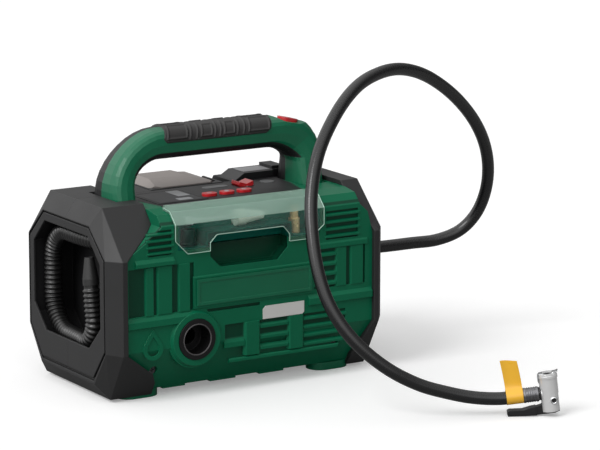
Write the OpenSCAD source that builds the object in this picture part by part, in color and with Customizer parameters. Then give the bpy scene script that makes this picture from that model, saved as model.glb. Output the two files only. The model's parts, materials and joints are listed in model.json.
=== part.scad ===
// Portable tyre inflator: clamshell body with end bumpers, carry handle, storage lid,
// slide-in battery, high-pressure hose with chuck and a ribbed low-pressure hose.
// X runs along the body, the control side faces -Y, Z is up; origin under the middle of the body.

/* [Body] */
// Overall length over both bumpers
body_l = 300; // [290:2:330]
// Overall depth over the bumpers
body_d = 180; // [176:2:196]
// Height of the top deck above the ground
deck_z = 177; // [175:1:182]
// Wall thickness of the housing shells
wall = 3; // [2.5:0.25:3.5]
// Radial clearance of running fits
run_gap = 0.05; // [0.03:0.01:0.1]
// Clearance between loose or sliding plastic parts
slip_gap = 0.3; // [0.2:0.05:0.4]

/* [Bumpers] */
// How far the bumpers stand proud of the shells
bumper_t = 4.5; // [4:0.25:6]
// Length of the bevel at each end
bevel_l = 11; // [9:0.5:13]
// Depth taken off the end face by the bevel
bevel_d = 14; // [13:0.5:15]
// Reach of the corner flaps on the hose end
ear_hose = 54; // [50:1:58]
// Reach of the corner flaps on the outlet end
ear_out = 30; // [27:1:34]
// Half width of the end openings
opening_hw = 66; // [63:0.5:67]
// Height of the end openings
opening_h = 106; // [103:0.5:107]
// Corner chamfer of the end openings
opening_c = 23; // [20:0.5:25]
// Depth of the hose bay, end face to back wall
bay_depth = 42; // [40:1:50]
// Depth of the outlet bay, end face to back wall
out_depth = 38; // [34:1:42]
// Wall thickness of both bays
bay_wall = 2.5; // [2:0.25:3]

/* [Handle] */
// Height of the top of the handle above the ground
handle_top = 242; // [238:0.5:250]
// Thickness of the handle beam
beam_t = 29; // [27:0.5:31]
// Thickness of the handle legs
leg_t = 26; // [23:0.5:27]
// Extra thickness of the right leg, on its outer side
leg_extra = 4.5; // [3:0.5:5]
// Distance between the outer faces of the legs
handle_l = 227; // [222:1:230]
// Depth of the handle beam, front to back
beam_d = 36; // [33:1:38]
// Depth of the legs where they meet the deck
foot_d = 54; // [48:1:56]
// Thickness of the soft grip
grip_t = 1.3; // [1:0.1:1.6]
// Stroke of the handle button
button_stroke = 3; // [2:0.5:3.5]

/* [Storage lid] */
// Length of the clear storage lid
lid_l = 161; // [155:1:163]
// Thickness of the lid
lid_t = 1.8; // [1.6:0.1:2.2]
// Diameter of the lid hinge pin
lid_pin_d = 2.4; // [2:0.1:2.6]
// Depth of the finger recess under the lid
recess_depth = 14; // [12:0.5:15]

/* [Controls] */
// Thickness of the control panel
panel_t = 3.5; // [3:0.25:4.5]
// Length of each panel button
key_l = 15; // [12:0.5:16]
// Width of each panel button
key_w = 10.5; // [9:0.5:11]
// Stroke of the panel buttons
key_stroke = 1.2; // [0.8:0.1:1.5]
// Length of the pump mode rocker
rocker_l = 16; // [14:0.5:18]
// Width of the pump mode rocker
rocker_w = 15; // [12:0.5:17]

/* [Air port] */
// Bore of the low-pressure port
port_bore = 28.6; // [27:0.2:30]
// Outside diameter of the port ring
port_od = 38.5; // [37:0.5:40]
// Diameter of the raised ring round the port
port_frame_d = 54; // [52:1:56]

/* [Ribbed hose] */
// Outside diameter of the ribbed hose
lp_od = 17; // [16:0.2:17.6]
// Depth of the ribs
lp_rib = 1.6; // [1.2:0.1:1.8]
// Distance from rib to rib
lp_pitch = 4.6; // [4:0.1:5]
// Wall of the ribbed hose at the root of the ribs
lp_wall = 1; // [0.8:0.1:1.2]
// Diameter of the cuff where it joins the hose
cuff_d = 15.4; // [15:0.1:15.8]
// Diameter of the cuff's open tip
cuff_tip = 9; // [8:0.5:11]
// Length of the cuff
cuff_l = 26; // [22:1:28]

/* [Pressure hose] */
// Outside diameter of the high-pressure hose
hose_d = 12; // [11:0.5:13]
// Diameter of the crimp ferrule
ferrule_d = 14; // [13.5:0.5:16]
// Length of the crimp ferrule
ferrule_l = 14.5; // [14:0.5:16]

/* [Chuck] */
// Diameter of the chuck body
chuck_d = 17; // [16.5:0.5:18]
// Height of the chuck body
chuck_h = 35; // [34:0.5:36]
// Bore that takes the tyre valve
chuck_bore = 8; // [7.8:0.1:8.6]
// Diameter of the lever pivot pin
lever_pin_d = 4; // [3:0.25:4.5]
// Length of the lever from its pivot
lever_l = 40; // [38:1:44]

/* [Battery] */
// Width of the battery pack
pack_w = 74; // [68:1:76]
// Depth of the battery pack
pack_d = 54; // [50:1:58]
// Height of the battery pack
pack_h = 104; // [98:1:108]
// How far the pack stands above the deck
pack_proud = 5.5; // [4:0.5:8]

/* [Hidden] */

body_green = [0.02, 0.30, 0.19];
dark_grey = [0.20, 0.20, 0.21];
soft_black = [0.10, 0.10, 0.11];
signal_red = [0.75, 0.10, 0.12];
steel = [0.72, 0.73, 0.75];

half_l = body_l / 2;
half_d = body_d / 2;
front_y = -half_d + bumper_t;
bump_top = deck_z + bumper_t;
bump_bot = 3;
shell_bot = bump_bot + bumper_t;
top_hw = 51;
bot_hw = 64;
flat_z1 = 137.5;
flat_z0 = 49;
seam_gap = 0.1;
eps = 0.01;
far = 400;

// ---- sections across the body, drawn as [y, z] ----
function oct(top, mid, bot, zt, z1, z0, zb) =
    [[-mid, z0], [-mid, z1], [-top, zt], [top, zt], [mid, z1], [mid, z0], [bot, zb], [-bot, zb]];
// the bumper's outer section, drawn in by g
function sect(g) = oct(top_hw - 0.414 * g, half_d - g, bot_hw - 0.583 * g, bump_top - g,
    flat_z1 - 0.414 * g, flat_z0 + 0.262 * g, bump_bot + g);
// the end face of the bumper
end_sect = oct(top_hw - 5, half_d - bevel_d, bot_hw - 11, bump_top - 16.5, flat_z1, flat_z0 + 1,
    bump_bot + 14);
open_z0 = 49;
// the end opening, grown by g
function opening(g) = oct(opening_hw - opening_c + 0.414 * g, opening_hw + g,
    opening_hw - opening_c + 0.414 * g, open_z0 + opening_h + g,
        open_z0 + opening_h - opening_c + 0.414 * g,
    open_z0 + opening_c - 0.414 * g, open_z0 - g);
// the room behind the end opening: its floor lies lower than the opening's edge
bay_drop = 9.5;
function cavity(g) = [for (i = [0 : 7]) opening(g)[i] - (i == 0 || i > 4 ? [0, bay_drop] : [0, 0])];
lip_t = 2;
groove_d = 3;
// the fuller section between the bumpers, with its short front slope, drawn in by g
crease_z = deck_z - 12;
slope_y = front_y + 9.5;
slope_z = deck_z - 2.5;
brow_y = front_y + 27;
function mid_sect(g) = [[front_y + g, flat_z0 + 0.262 * (bumper_t + g)], [front_y + g,
    crease_z - 0.4 * g],
    [slope_y + 0.4 * g, slope_z - g], [brow_y, deck_z - g], [top_hw - 0.414 * (bumper_t + g), deck_z - g],
    [half_d - bumper_t - g, flat_z1 - 0.414 * (bumper_t + g)],
    [half_d - bumper_t - g, flat_z0 + 0.262 * (bumper_t + g)],
    [bot_hw - 0.583 * (bumper_t + g), shell_bot + g], [-bot_hw + 0.583 * (bumper_t + g), shell_bot + g]];

module along_x(x0, x1) {
    translate([x0, 0, 0]) rotate([90, 0, 90]) linear_extrude(x1 - x0) children();
}
module along_y(y0, y1) {
    translate([0, y1, 0]) rotate([90, 0, 0]) linear_extrude(y1 - y0) children();
}
module box(x0, x1, y0, y1, z0, z1) {
    translate([x0, y0, z0]) cube([x1 - x0, y1 - y0, z1 - z0]);
}
module rod_x(x0, x1, y, z, d) {
    translate([x0, y, z]) rotate([0, 90, 0]) cylinder(h = x1 - x0, d = d, $fn = 48);
}
module rod_y(y0, y1, x, z, d) {
    translate([x, y1, z]) rotate([90, 0, 0]) cylinder(h = y1 - y0, d = d, $fn = 48);
}
module rod_z(z0, z1, x, y, d) {
    translate([x, y, z0]) cylinder(h = z1 - z0, d = d, $fn = 48);
}
module slot_z(l, w, h) {
    linear_extrude(h) {
        square([l - w, w], center = true);
        translate([-(l - w) / 2, 0]) circle(d = w, $fn = 32);
        translate([(l - w) / 2, 0]) circle(d = w, $fn = 32);
    }
}

// ---- the bumpers' outline seen from the front, drawn as [x, z] ----
front_edge = bevel_l + 5;
function flap(side, reach, g) = [[side * (half_l + 1), -5], [side * (half_l - reach - g), -5],
    [side * (half_l - reach - g), 15 + g / 2], [side * (half_l - reach + 5 - g), 25 + g],
    [side * (half_l - front_edge - g), flat_z0 + g], [side * (half_l - front_edge - g), flat_z1 - g],
    [side * (half_l - reach + 9 - g), bump_top - 25 - g], [side * (half_l - reach - g), bump_top - 17],
    [side * (half_l - reach - g), bump_top + 5], [side * (half_l + 1), bump_top + 5]];

// ---- handle: two outlines joined by rounded sections ----
handle_y = -5;
leg_out = handle_l / 2;
leg_in = leg_out - leg_t;
right_out = leg_out + leg_extra;
corner_n = 9;
section_n = 20;
// corner radii [x, z] and squareness: outer left, outer right, inner left, inner right
out_left = [57, 55, 1.8];
out_right = [38, 40, 2.2];
in_left = [27, 22, 1.7];
in_right = [28, 15, 1.6];
function se(a, n) = sign(a) * pow(abs(a), 2 / n);
function rim(side, out, i, r, top) = let (a = 90 * i / corner_n)
    [side * (out - r[0] + r[0] * se(cos(a), r[2])), top - r[1] + r[1] * se(sin(a), r[2])];
handle_in = handle_top - beam_t;
foot_z = deck_z - 1;
stations = concat(
    [[[-leg_out, foot_z], [-leg_in, foot_z]]],
    [for (i = [0 : corner_n]) [rim(-1, leg_out, i, out_left, handle_top), rim(-1, leg_in, i, in_left,
        handle_in)]],
    [for (i = [corner_n : -1 : 0]) [rim(1, right_out, i, out_right, handle_top), rim(1, leg_in, i,
        in_right, handle_in)]],
    [[[right_out, foot_z], [leg_in, foot_z]]]);
rise = 42;
function section_d(z) = foot_d - (foot_d - beam_d) * min(1, max(0, (z - foot_z) / rise));
function handle_ring(s, g) = let (mid = (s[0] + s[1]) / 2, dir = (s[0] - s[1]) / norm(s[0] - s[1]),
    h = norm(s[0] - s[1]) / 2 + g, w = section_d(mid[1]) / 2 + g)
    [for (k = [0 : section_n - 1]) let (a = 360 * k / section_n, u = h * se(cos(a), 3.2),
        v = w * se(sin(a), 3.2))
        [mid[0] + dir[0] * u, handle_y + v, mid[1] + dir[1] * u]];
// joins a list of rings with the same number of points into one closed tube
function tube_faces(rows, n) = concat(
    [for (i = [0 : rows - 2]) for (k = [0 : n - 1]) let (a = i * n + k, b = i * n + (k + 1) % n) [a, b,
        b + n]],
    [for (i = [0 : rows - 2]) for (k = [0 : n - 1]) let (a = i * n + k, b = i * n + (k + 1) % n) [a,
        b + n, a + n]],
    [for (k = [1 : n - 2]) [0, k + 1, k]],
    [for (k = [1 : n - 2]) let (o = (rows - 1) * n) [o, o + k, o + k + 1]]);
module handle_bar(g) {
    rings = [for (s = stations) handle_ring(s, g)];
    polyhedron(points = [for (r = rings) for (p = r) p], faces = tube_faces(len(rings), section_n));
}
handle_seam = handle_y + 2.5;
liner_t = 7;
// the band under the beam that belongs to the rear half
liner_z = handle_in - 11;
function liner_edge() = concat(
    [for (i = [0 : corner_n]) rim(-1, leg_in + liner_t, i, in_left + [liner_t, liner_t, 0],
        handle_in + liner_t)],
    [for (i = [corner_n : -1 : 0]) rim(1, leg_in + liner_t, i, in_right + [liner_t, liner_t, 0],
        handle_in + liner_t)]);
module liner_zone() {
    intersection() {
        along_y(handle_y - half_d, handle_seam) polygon(liner_edge());
        box(-half_l, half_l, -half_d, half_d, liner_z, handle_top);
    }
}
module rear_zone() {
    box(-half_l, half_l, handle_seam, half_d, 0, handle_top + 9);
    liner_zone();
}
button_tilt = 13;
button_x = 88;
button_l = 21;
button_w = 15;
button_z = handle_top - 6.8;
button_proud = 3.5;
button_h = 8;
module at_button() {
    translate([button_x, handle_y, button_z]) rotate([0, button_tilt, 0]) children();
}

// ---- storage lid ----
lid_x0 = -lid_l / 2 - 2;
lid_x1 = lid_l / 2 - 2;
lid_lap = 3.5;
lid_z0 = flat_z1;
hinge_y = brow_y - 0.6;
hinge_z = deck_z - 2.8;
knuckle_r = 2.6;
knuckle_l = 22;
tray_x0 = lid_x0 + lid_lap;
tray_x1 = lid_x1 - lid_lap;
tray_z0 = lid_z0 + lid_lap;
tray_y1 = hinge_y - 5;
tray_t = 1.8;
recess_x0 = -44.5;
recess_x1 = 39.5;
recess_z0 = 121;
recess_z1 = 151.5;
recess_c = 11;
pocket_t = 2;
// outline of the finger recess grown by g
function recess(g) = [[recess_x0 - g, recess_z0 + recess_c], [recess_x0 + recess_c, recess_z0 - g],
    [recess_x1 - recess_c, recess_z0 - g], [recess_x1 + g, recess_z0 + recess_c],
    [recess_x1 + g, recess_z1 - recess_c / 2], [recess_x1 - recess_c / 2, recess_z1 + g],
    [recess_x0 + recess_c / 2, recess_z1 + g], [recess_x0 - g, recess_z1 - recess_c / 2]];
knuckle_gap = 0.3;
lid_knuckles = [-60, 0, 56];
lid_corner = 4.4;
tray_knuckles = [for (x = lid_knuckles) for (s = [-1, 1]) x + s * (knuckle_l / 2 + knuckle_gap + 3)];

// ---- control panel ----
panel_hw = 86;
panel_nw = 77;
panel_y0 = hinge_y + 5.5;
panel_yk = -15;
panel_y1 = 17;
function panel_outline(g) = [[-panel_nw + g, panel_y0 + g], [panel_nw - g, panel_y0 + g],
    [panel_hw - g, panel_yk],
    [panel_hw - g, panel_y1 - g], [-panel_hw + g, panel_y1 - g], [-panel_hw + g, panel_yk]];
panel_z0 = deck_z - panel_t;
key_x = [-13, 6, 25];
key_y = -30;
key_rest = 1.2;
key_rim = 1.1;
// seat of the display window in the panel [x0, x1, y0, y1], and the rim round it
screen = [-72, -26, -40, 6];
screen_rim = 4;
screen_in = 0.6;
rocker_x = 40;
rocker_y = -2;
rocker_pin_d = 3;
rocker_pin_z = deck_z - 1;

// ---- battery and rear housing ----
pack_x = -9;
pack_y0 = panel_y1 + 4;
pack_z1 = deck_z + pack_proud;
pack_z0 = pack_z1 - pack_h;
dock_t = 2;
dock_x0 = pack_x - pack_w / 2 - slip_gap - dock_t;
dock_x1 = 104;
dock_y0 = pack_y0 - slip_gap - dock_t;
dock_y1 = pack_y0 + pack_d + slip_gap + dock_t;
dock_z0 = pack_z0 - 2 * dock_t;
unit_x0 = pack_x + pack_w / 2 + slip_gap + dock_t;
unit_wall_x = unit_x0 + 15;
unit_top = deck_z + 6.5;
unit_d = 30;
unit_step = 3;
gap_depth = 14;
guide_w = 5;
guide_d = 3;
contact_x = [-24, -8, 8, 24];
latch_w = 24;
latch_h = 10;
latch_d = 6;
latch_stroke = 3;

// ---- ports, plates and front relief ----
port_x = -61;
port_z = 56;
frame_proud = 3.5;
mouth_l = 14;
port_boss = 14;
throat_d = cuff_d + 2 * slip_gap;

plate_x0 = -60;
plate_x1 = 65;
plate_z0 = 87;
plate_z1 = 112;
plate_proud = 2.5;
label_x0 = 12;
label_x1 = 57.4;
label_z0 = 65.4;
label_z1 = 78;
ledge_z0 = 72;
ledge_z1 = 82.5;
screw_x = 99;
screw_z = 28;

// ---- inside: low-pressure blower behind the port ----
blower_x = -48;
blower_z = 56;
blower_y0 = -58;
blower_l = 30;
blower_r = 31;
shaft_d = 4;

// ---- inside: piston pump at the outlet end ----
pump_y = -22;
motor_z = 50;
motor_x0 = 38;
motor_l = 50;
motor_d = 44;
gear_teeth = 42;
pinion_teeth = 12;
tooth_m = 1.1;
gear_r = tooth_m * gear_teeth / 2;
pinion_r = tooth_m * pinion_teeth / 2;
gear_z = motor_z + gear_r + pinion_r;
frame_x0 = 33;
frame_t = 5;
gear_t = 7;
gear_x0 = frame_x0 - 1.5 - gear_t;
// thickness of the gear's closed front
gear_web = 2.5;
throw = 4;
rod_l = 36;
rod_t = 5;
cyl_x = gear_x0 - 1 - rod_t / 2;
cyl_bore = 20;
piston_h = 10;
piston_wall = 1.2;
ring_gap = 0.5;
crank_d = 5;
stub_d = 5;
wrist_d = 3.5;
outlet_wall_x = half_l - out_depth;
pipe_x = outlet_wall_x - 20;
outlet_z = 100;

// ---- pressure hose route, hand-picked points [x, y, z] ----
hose_end = [160.6, -297.2, 18.6];
hose_route = [[outlet_wall_x + 6, 0, outlet_z], [140, 0, 100], [170, 0, 99], [203, 0, 98], [236, -1, 98],
    [264, -5, 99], [287, -11, 107], [301, -19, 124], [306, -28, 148], [301, -39, 176], [287, -50, 205],
    [264, -61, 233], [231, -74, 260], [192, -88, 282], [155, -101, 293], [121, -113, 293], [88, -126,
        284],
    [57, -140, 263], [29, -155, 231], [11, -172, 193], [3, -190, 152], [3, -206, 118], [10, -220, 92],
    [24, -234, 69], [46, -247.5, 48], [72, -258.5, 32.5], [97, -267.8, 23.6],
    [119.5, -276.8, 18], [142.5, -286.8, 16], hose_end];

// heading and rise of the hose's end and of the chuck on it
chuck_yaw = -30;
chuck_pitch = 7;
hose_sides = 10;

// ---- ribbed hose route: down from the cuff, then once round inside the opening ----
coil_y = opening_hw + 1 - lp_od / 2 - 0.6;
coil_z0 = open_z0 - 1 - bay_drop + lp_od / 2 + 0.5;
coil_z1 = open_z0 + opening_h + 1 - lp_od / 2 - 2.5;
// distance of the coil's middle line behind the end face: at the cuff, on its far side, at its tail
coil_in0 = lp_od / 2 + lip_t + 0.7;
coil_in1 = coil_in0 + 5;
coil_in2 = coil_in1 + 13;
low_r = 24;
left_r = 34;
high_r = 32;
cuff_lean = 7;
cuff_y = -28;
cuff_z = 105;
first_l = (cuff_z - coil_z0 - low_r * (1 + sin(cuff_lean))) / cos(cuff_lean);
bend_y = cuff_y - first_l * sin(cuff_lean);
bend_end_y = bend_y + low_r * cos(cuff_lean);
// each stretch of the route: [start y, start z, heading, length, radius], radius 0 being a straight
coil_path = [[cuff_y, cuff_z, -90 - cuff_lean, first_l, 0],
    [bend_y, cuff_z - first_l * cos(cuff_lean), -90 - cuff_lean, low_r * (90 + cuff_lean) * PI / 180,
        low_r],
    [bend_end_y, coil_z0, 0, coil_y - left_r - bend_end_y, 0], [coil_y - left_r, coil_z0, 0,
        left_r * PI / 2, left_r],
    [coil_y, coil_z0 + left_r, 90, coil_z1 - coil_z0 - left_r - high_r, 0],
    [coil_y, coil_z1 - high_r, 90, high_r * PI / 2, high_r],
    [coil_y - high_r, coil_z1, 180, 2 * coil_y - 2 * high_r, 0], [high_r - coil_y, coil_z1, 180,
        high_r * PI / 2, high_r],
    [-coil_y, coil_z1 - high_r, 270, 34, 0]];
function before(i) = i == 0 ? 0 : before(i - 1) + coil_path[i - 1][3];
coil_len = before(len(coil_path));
function leg_of(s, i) = i == len(coil_path) - 1 || s < before(i + 1) ? i : leg_of(s, i + 1);
function ease(t) = (1 - cos(180 * min(1, max(0, t)))) / 2;
// the coil lies deeper on its far side and deepest at its tail
function coil_in(s) = coil_in0 + (coil_in1 - coil_in0) * ease(s / coil_len / 0.4)
    + (coil_in2 - coil_in1) * ease((s / coil_len - 0.66) / 0.34);
function coil_at(s) = let (i = leg_of(s, 0), l = coil_path[i], d = s - before(i), a = l[2])
    let (b = l[4] == 0 ? 0 : d / l[4] * 180 / PI, x = -half_l + coil_in(s))
    l[4] == 0 ? [x, l[0] + d * cos(a), l[1] + d * sin(a)] :
    [x, l[0] + l[4] * (sin(a + b) - sin(a)), l[1] - l[4] * (cos(a + b) - cos(a))];
lp_sides = 8;
end_l = 3;
rib_n = floor((coil_len - 2 * end_l) / lp_pitch);
// stations of the outer skin [distance, radius]
skin = concat([[0, lp_od / 2 - lp_rib]],
    [for (i = [0 : rib_n - 1]) for (k = [0, 1]) [end_l + (i + 0.5 * k) * lp_pitch,
        lp_od / 2 - (1 - k) * lp_rib]],
    [[end_l + rib_n * lp_pitch, lp_od / 2 - lp_rib], [coil_len, lp_od / 2 - lp_rib]]);
bore_step = 3;
bore = concat([0], [for (i = [0 : bore_step : rib_n]) end_l + i * lp_pitch], [coil_len]);
lp_bore_r = lp_od / 2 - lp_rib - lp_wall;
function unit(v) = v / norm(v);
function coil_dir(s) = unit(coil_at(min(coil_len, s + 0.5)) - coil_at(max(0, s - 0.5)));
function coil_ring(s, r) = let (t = coil_dir(s), n = unit(cross([1, 0, 0], t)), b = cross(t, n),
    c = coil_at(s))
    [for (k = [0 : lp_sides - 1]) let (a = 360 * (k + 0.5) / lp_sides)
        c + r / cos(180 / lp_sides) * (n * cos(a) + b * sin(a))];
// least distance between parts of the ribbed hose that lie more than half a lap apart
coil_probe = [for (i = [0 : 4 : coil_len]) coil_at(i)];
coil_gap = min([for (i = [0 : len(coil_probe) - 1]) for (j = [i + 14 : 1 : len(coil_probe) - 1])
    norm(coil_probe[i] - coil_probe[j])]) - lp_od / cos(180 / lp_sides);
echo(ribbed_hose_gap_mm = coil_gap, ribs = rib_n);

// ================= housing =================
module flaps(g) {
    along_y(-half_d - 5, half_d + 5) polygon(flap(-1, ear_hose, g));
    along_y(-half_d - 5, half_d + 5) polygon(flap(1, ear_out, g));
}
module shell_solid(g) {
    along_x(-half_l + bevel_l + 1.5 - g, half_l - bevel_l - 1.5 + g) polygon(sect(bumper_t + g));
    difference() {
        along_x(-half_l + front_edge + g, half_l - front_edge - g) polygon(mid_sect(g));
        flaps(seam_gap + g);
    }
}
module shell_tube() {
    difference() {
        shell_solid(0);
        shell_solid(wall);
    }
}
// four case screws: the lower pair goes in from the front, the upper pair from the rear
post_x = [-screw_x, screw_x];
// the right upper screw passes outside the rear housing
upper_x = [-screw_x, screw_x + 13];
upper_z = deck_z - 10.5;
post_d = 9;
head_d = 8.5;
pilot_d = 3.2;
clear_d = 3.6;
lower_seat = half_d - 22;
upper_seat = half_d - 40;
module posts(at, y0, y1, z, bore) {
    difference() {
        for (x = at) rod_y(y0, y1, x, z, post_d);
        for (x = at) rod_y(y0 - 1, y1 + 1, x, z, bore);
    }
}
// relief of the front face: fields sunk into the wall, and bars standing on it
relief_in = 1.8;
bar_proud = 3;
low_bar_proud = 1;
slat_proud = 0.8;
upright_z = [ledge_z1 + 1, lid_z0 - 9];
left_field = [-131, plate_x0 - 2];
uprights = [[-113.5, -104.5], [-101, -85], [-78.5, -66]];
left_louvers = [-110, lid_x0 - 3];
left_louver_z = [lid_z0 + 1, crease_z - 3];
right_louvers = [lid_x1 + 3.5, 118];
right_louver_z = [lid_z0 - 4, crease_z - 4];
vent_field = [plate_x1 + 4, 126];
vent_z = [ledge_z1 + 5, 125];
vent_bars = [[93, 105], [109.5, 124]];
low_field = [-29, 96];
low_z = [32, 65];
low_blocks = [[-8, 9], [40, 57]];
slat_n = 4;
skirt_x = [[-82, -58], [-31, -3], [23, 50]];
module dent(x, z) {
    box(x[0], x[1], front_y - 5, front_y + relief_in, z[0], z[1]);
}
// a level bar with sloping top and bottom
module bar(x, z, out) {
    along_x(x[0], x[1]) polygon([[front_y + relief_in + 0.2, z[0]], [front_y, z[0]], [front_y - out,
        z[0] + 0.4 * out],
        [front_y - out, z[1] - 1.1 * out], [front_y, z[1]], [front_y + relief_in + 0.2, z[1]]]);
}
// an upright bar with sloping sides
module upright(x, z, out) {
    translate([0, 0, z[0]]) linear_extrude(z[1] - z[0]) polygon([[x[0] - 1, front_y + relief_in + 0.2],
        [x[0] + out, front_y - out], [x[1] - out, front_y - out], [x[1] + 1, front_y + relief_in + 0.2]]);
}
// a row of louvre slats, each with a sloping top
module slats(x, z, n) {
    pitch = (z[1] - z[0]) / n;
    for (i = [0 : n - 1]) translate([0, 0, z[0] + i * pitch]) along_x(x[0], x[1])
        polygon([[front_y + relief_in + 0.2, 0.25 * pitch], [front_y - slat_proud, 0.25 * pitch],
            [front_y - slat_proud, 0.5 * pitch], [front_y + relief_in + 0.2, 0.75 * pitch]]);
}
module front_relief_cuts() {
    dent(left_field, upright_z);
    dent(left_louvers, left_louver_z);
    dent(right_louvers, right_louver_z);
    dent(vent_field, vent_z);
    along_y(front_y - 5, front_y + relief_in) polygon([[low_field[0], low_z[1]], [low_field[0],
        low_z[0] + 8],
        [low_field[0] + 6, low_z[0]], [low_field[1], low_z[0]], [low_field[1] + 8, low_z[0] + 8],
            [low_field[1] + 8, low_z[1]]]);
    // groove under the name plate
    dent([plate_x0 + 12, label_x0 - 3], [plate_z0 - 7.6, plate_z0 - 4.6]);
}
module front_relief_adds() {
    for (u = uprights) upright(u, upright_z, slat_proud);
    slats([left_louvers[0] - 2, left_louvers[1] + 2], left_louver_z, slat_n);
    slats([right_louvers[0] - 2, right_louvers[1] + 2], right_louver_z, slat_n);
    slats([vent_field[0] - 2, vent_bars[0][0]], vent_z, slat_n);
    for (v = vent_bars) upright(v, vent_z, slat_proud);
    slats([low_field[0] - 1, low_blocks[0][0]], low_z + [6, -8], 1);
    slats([low_blocks[0][1], low_blocks[1][0]], low_z + [2, 0], slat_n - 1);
    slats([low_blocks[1][1], low_field[1] + 9], low_z, slat_n);
    for (b = low_blocks) upright(b, [low_z[0] + 1, low_z[1]], bar_proud / 2);
    // bars over the uprights and over the vents
    bar([-124, lid_x0 - 1], [lid_z0 - 9, lid_z0 - 1], bar_proud);
    bar([plate_x1 - 4, 128], [125, lid_z0 - 6], bar_proud / 2);
    // long ledge, frame of the name plate and the sill along the bottom
    bar([-half_l + front_edge + 1, plate_x0 - 1], [ledge_z0, ledge_z1], bar_proud);
    bar([plate_x1 - 3, half_l - front_edge - 1], [ledge_z0, ledge_z1], bar_proud);
    bar([plate_x0 - 3, plate_x1 + 3], [plate_z0 - 3, plate_z1 + 3], low_bar_proud);
    bar([low_field[0] + 4, low_field[1] + 2], [low_z[0] - 4, low_z[0]], low_bar_proud);
    // low blocks under the front edge
    for (k = skirt_x) box(k[0], k[1], -bot_hw + 3.4, -bot_hw + 14, shell_bot - 2, shell_bot + 1);
}
// upright drop-shaped relief left of the port
icon_x = -106;
icon_z = 51.5;
module icon() {
    along_y(front_y - 1.2, front_y + 0.2) difference() {
        union() {
            translate([icon_x, icon_z]) circle(r = 10.5, $fn = 48);
            polygon([[icon_x - 8.5, icon_z + 6], [icon_x + 8.5, icon_z + 6], [icon_x, icon_z + 19]]);
        }
        translate([icon_x, icon_z]) circle(r = 6.4, $fn = 48);
        polygon([[icon_x - 5.1, icon_z + 3.9], [icon_x + 5.1, icon_z + 3.9], [icon_x, icon_z + 12]]);
    }
}
module front_shell() {
    color(body_green) difference() {
        union() {
            intersection() {
                union() {
                    difference() {
                        shell_tube();
                        front_relief_cuts();
                    }
                    front_relief_adds();
                }
                box(-half_l, half_l, -half_d - 1, -seam_gap, 0, deck_z + 1);
            }
            icon();
            // finger recess cup
            along_y(front_y + 0.5, front_y + recess_depth + pocket_t) polygon(recess(pocket_t));
            // raised ring round the port, carried down to the sloping lower face
            translate([port_x, front_y + wall, port_z]) rotate([90, 0, 0])
                cylinder(h = frame_proud + wall, d1 = port_frame_d + 2, d2 = port_frame_d - 4, $fn = 64);
            rod_y(front_y + 0.5, front_y + port_boss, port_x, port_z, port_frame_d + 2);
            intersection() {
                posts(post_x, -lower_seat - 4, -seam_gap, screw_z, clear_d);
                shell_solid(0);
            }
            posts(upper_x, -upper_seat, -seam_gap, upper_z, pilot_d);
        }
        // storage opening and hinge trough
        box(tray_x0, tray_x1, -half_d - 5, tray_y1 + 1, tray_z0, deck_z + 1);
        box(tray_x0, tray_x1, tray_y1, panel_y0 + 1, hinge_z - knuckle_r - slip_gap, deck_z + 1);
        along_y(-half_d - 5, front_y + recess_depth) polygon(recess(0));
        // panel seat
        translate([0, 0, panel_z0 - slip_gap]) linear_extrude(panel_t + 5) polygon(panel_outline(0));
        rod_y(-half_d - 5, front_y + port_boss + 6, port_x, port_z, port_od + 2 * slip_gap);
        // wells of the lower case screws
        for (x = post_x) rod_y(-half_d, -lower_seat, x, screw_z, head_d);
        // seat of the name plate
        box(plate_x0, plate_x1, -half_d - 1, front_y + 0.5, plate_z0, plate_z1);
        // feet of the handle
        handle_seat();
    }
}
module rear_shell() {
    color(dark_grey) difference() {
        union() {
            intersection() {
                shell_tube();
                box(-half_l, half_l, seam_gap, half_d + 1, 0, deck_z + 1);
            }
            posts(post_x, seam_gap, lower_seat, screw_z, pilot_d);
            posts(upper_x, seam_gap, upper_seat + 4, upper_z, clear_d);
        }
        translate([0, 0, panel_z0 - slip_gap]) linear_extrude(panel_t + 5) polygon(panel_outline(0));
        box(dock_x0 - slip_gap, unit_x0 + slip_gap, dock_y0 - slip_gap, dock_y1 + slip_gap,
            dock_z0 - slip_gap, deck_z + 5);
        box(unit_x0, dock_x1 + slip_gap, dock_y0 - slip_gap, unit_y2 + slip_gap,
            flat_z1 + 2 - slip_gap, deck_z + 5);
        for (x = upper_x) rod_y(upper_seat, half_d, x, upper_z, head_d);
        handle_seat();
    }
}
// the handle's feet stand a little way into the deck
module handle_seat() {
    for (x = [[-leg_out, -leg_in], [leg_in, right_out]]) box(x[0] - slip_gap, x[1] + slip_gap,
        handle_y - foot_d / 2 - slip_gap, handle_y + foot_d / 2 + slip_gap, foot_z, deck_z + 20);
}

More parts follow.
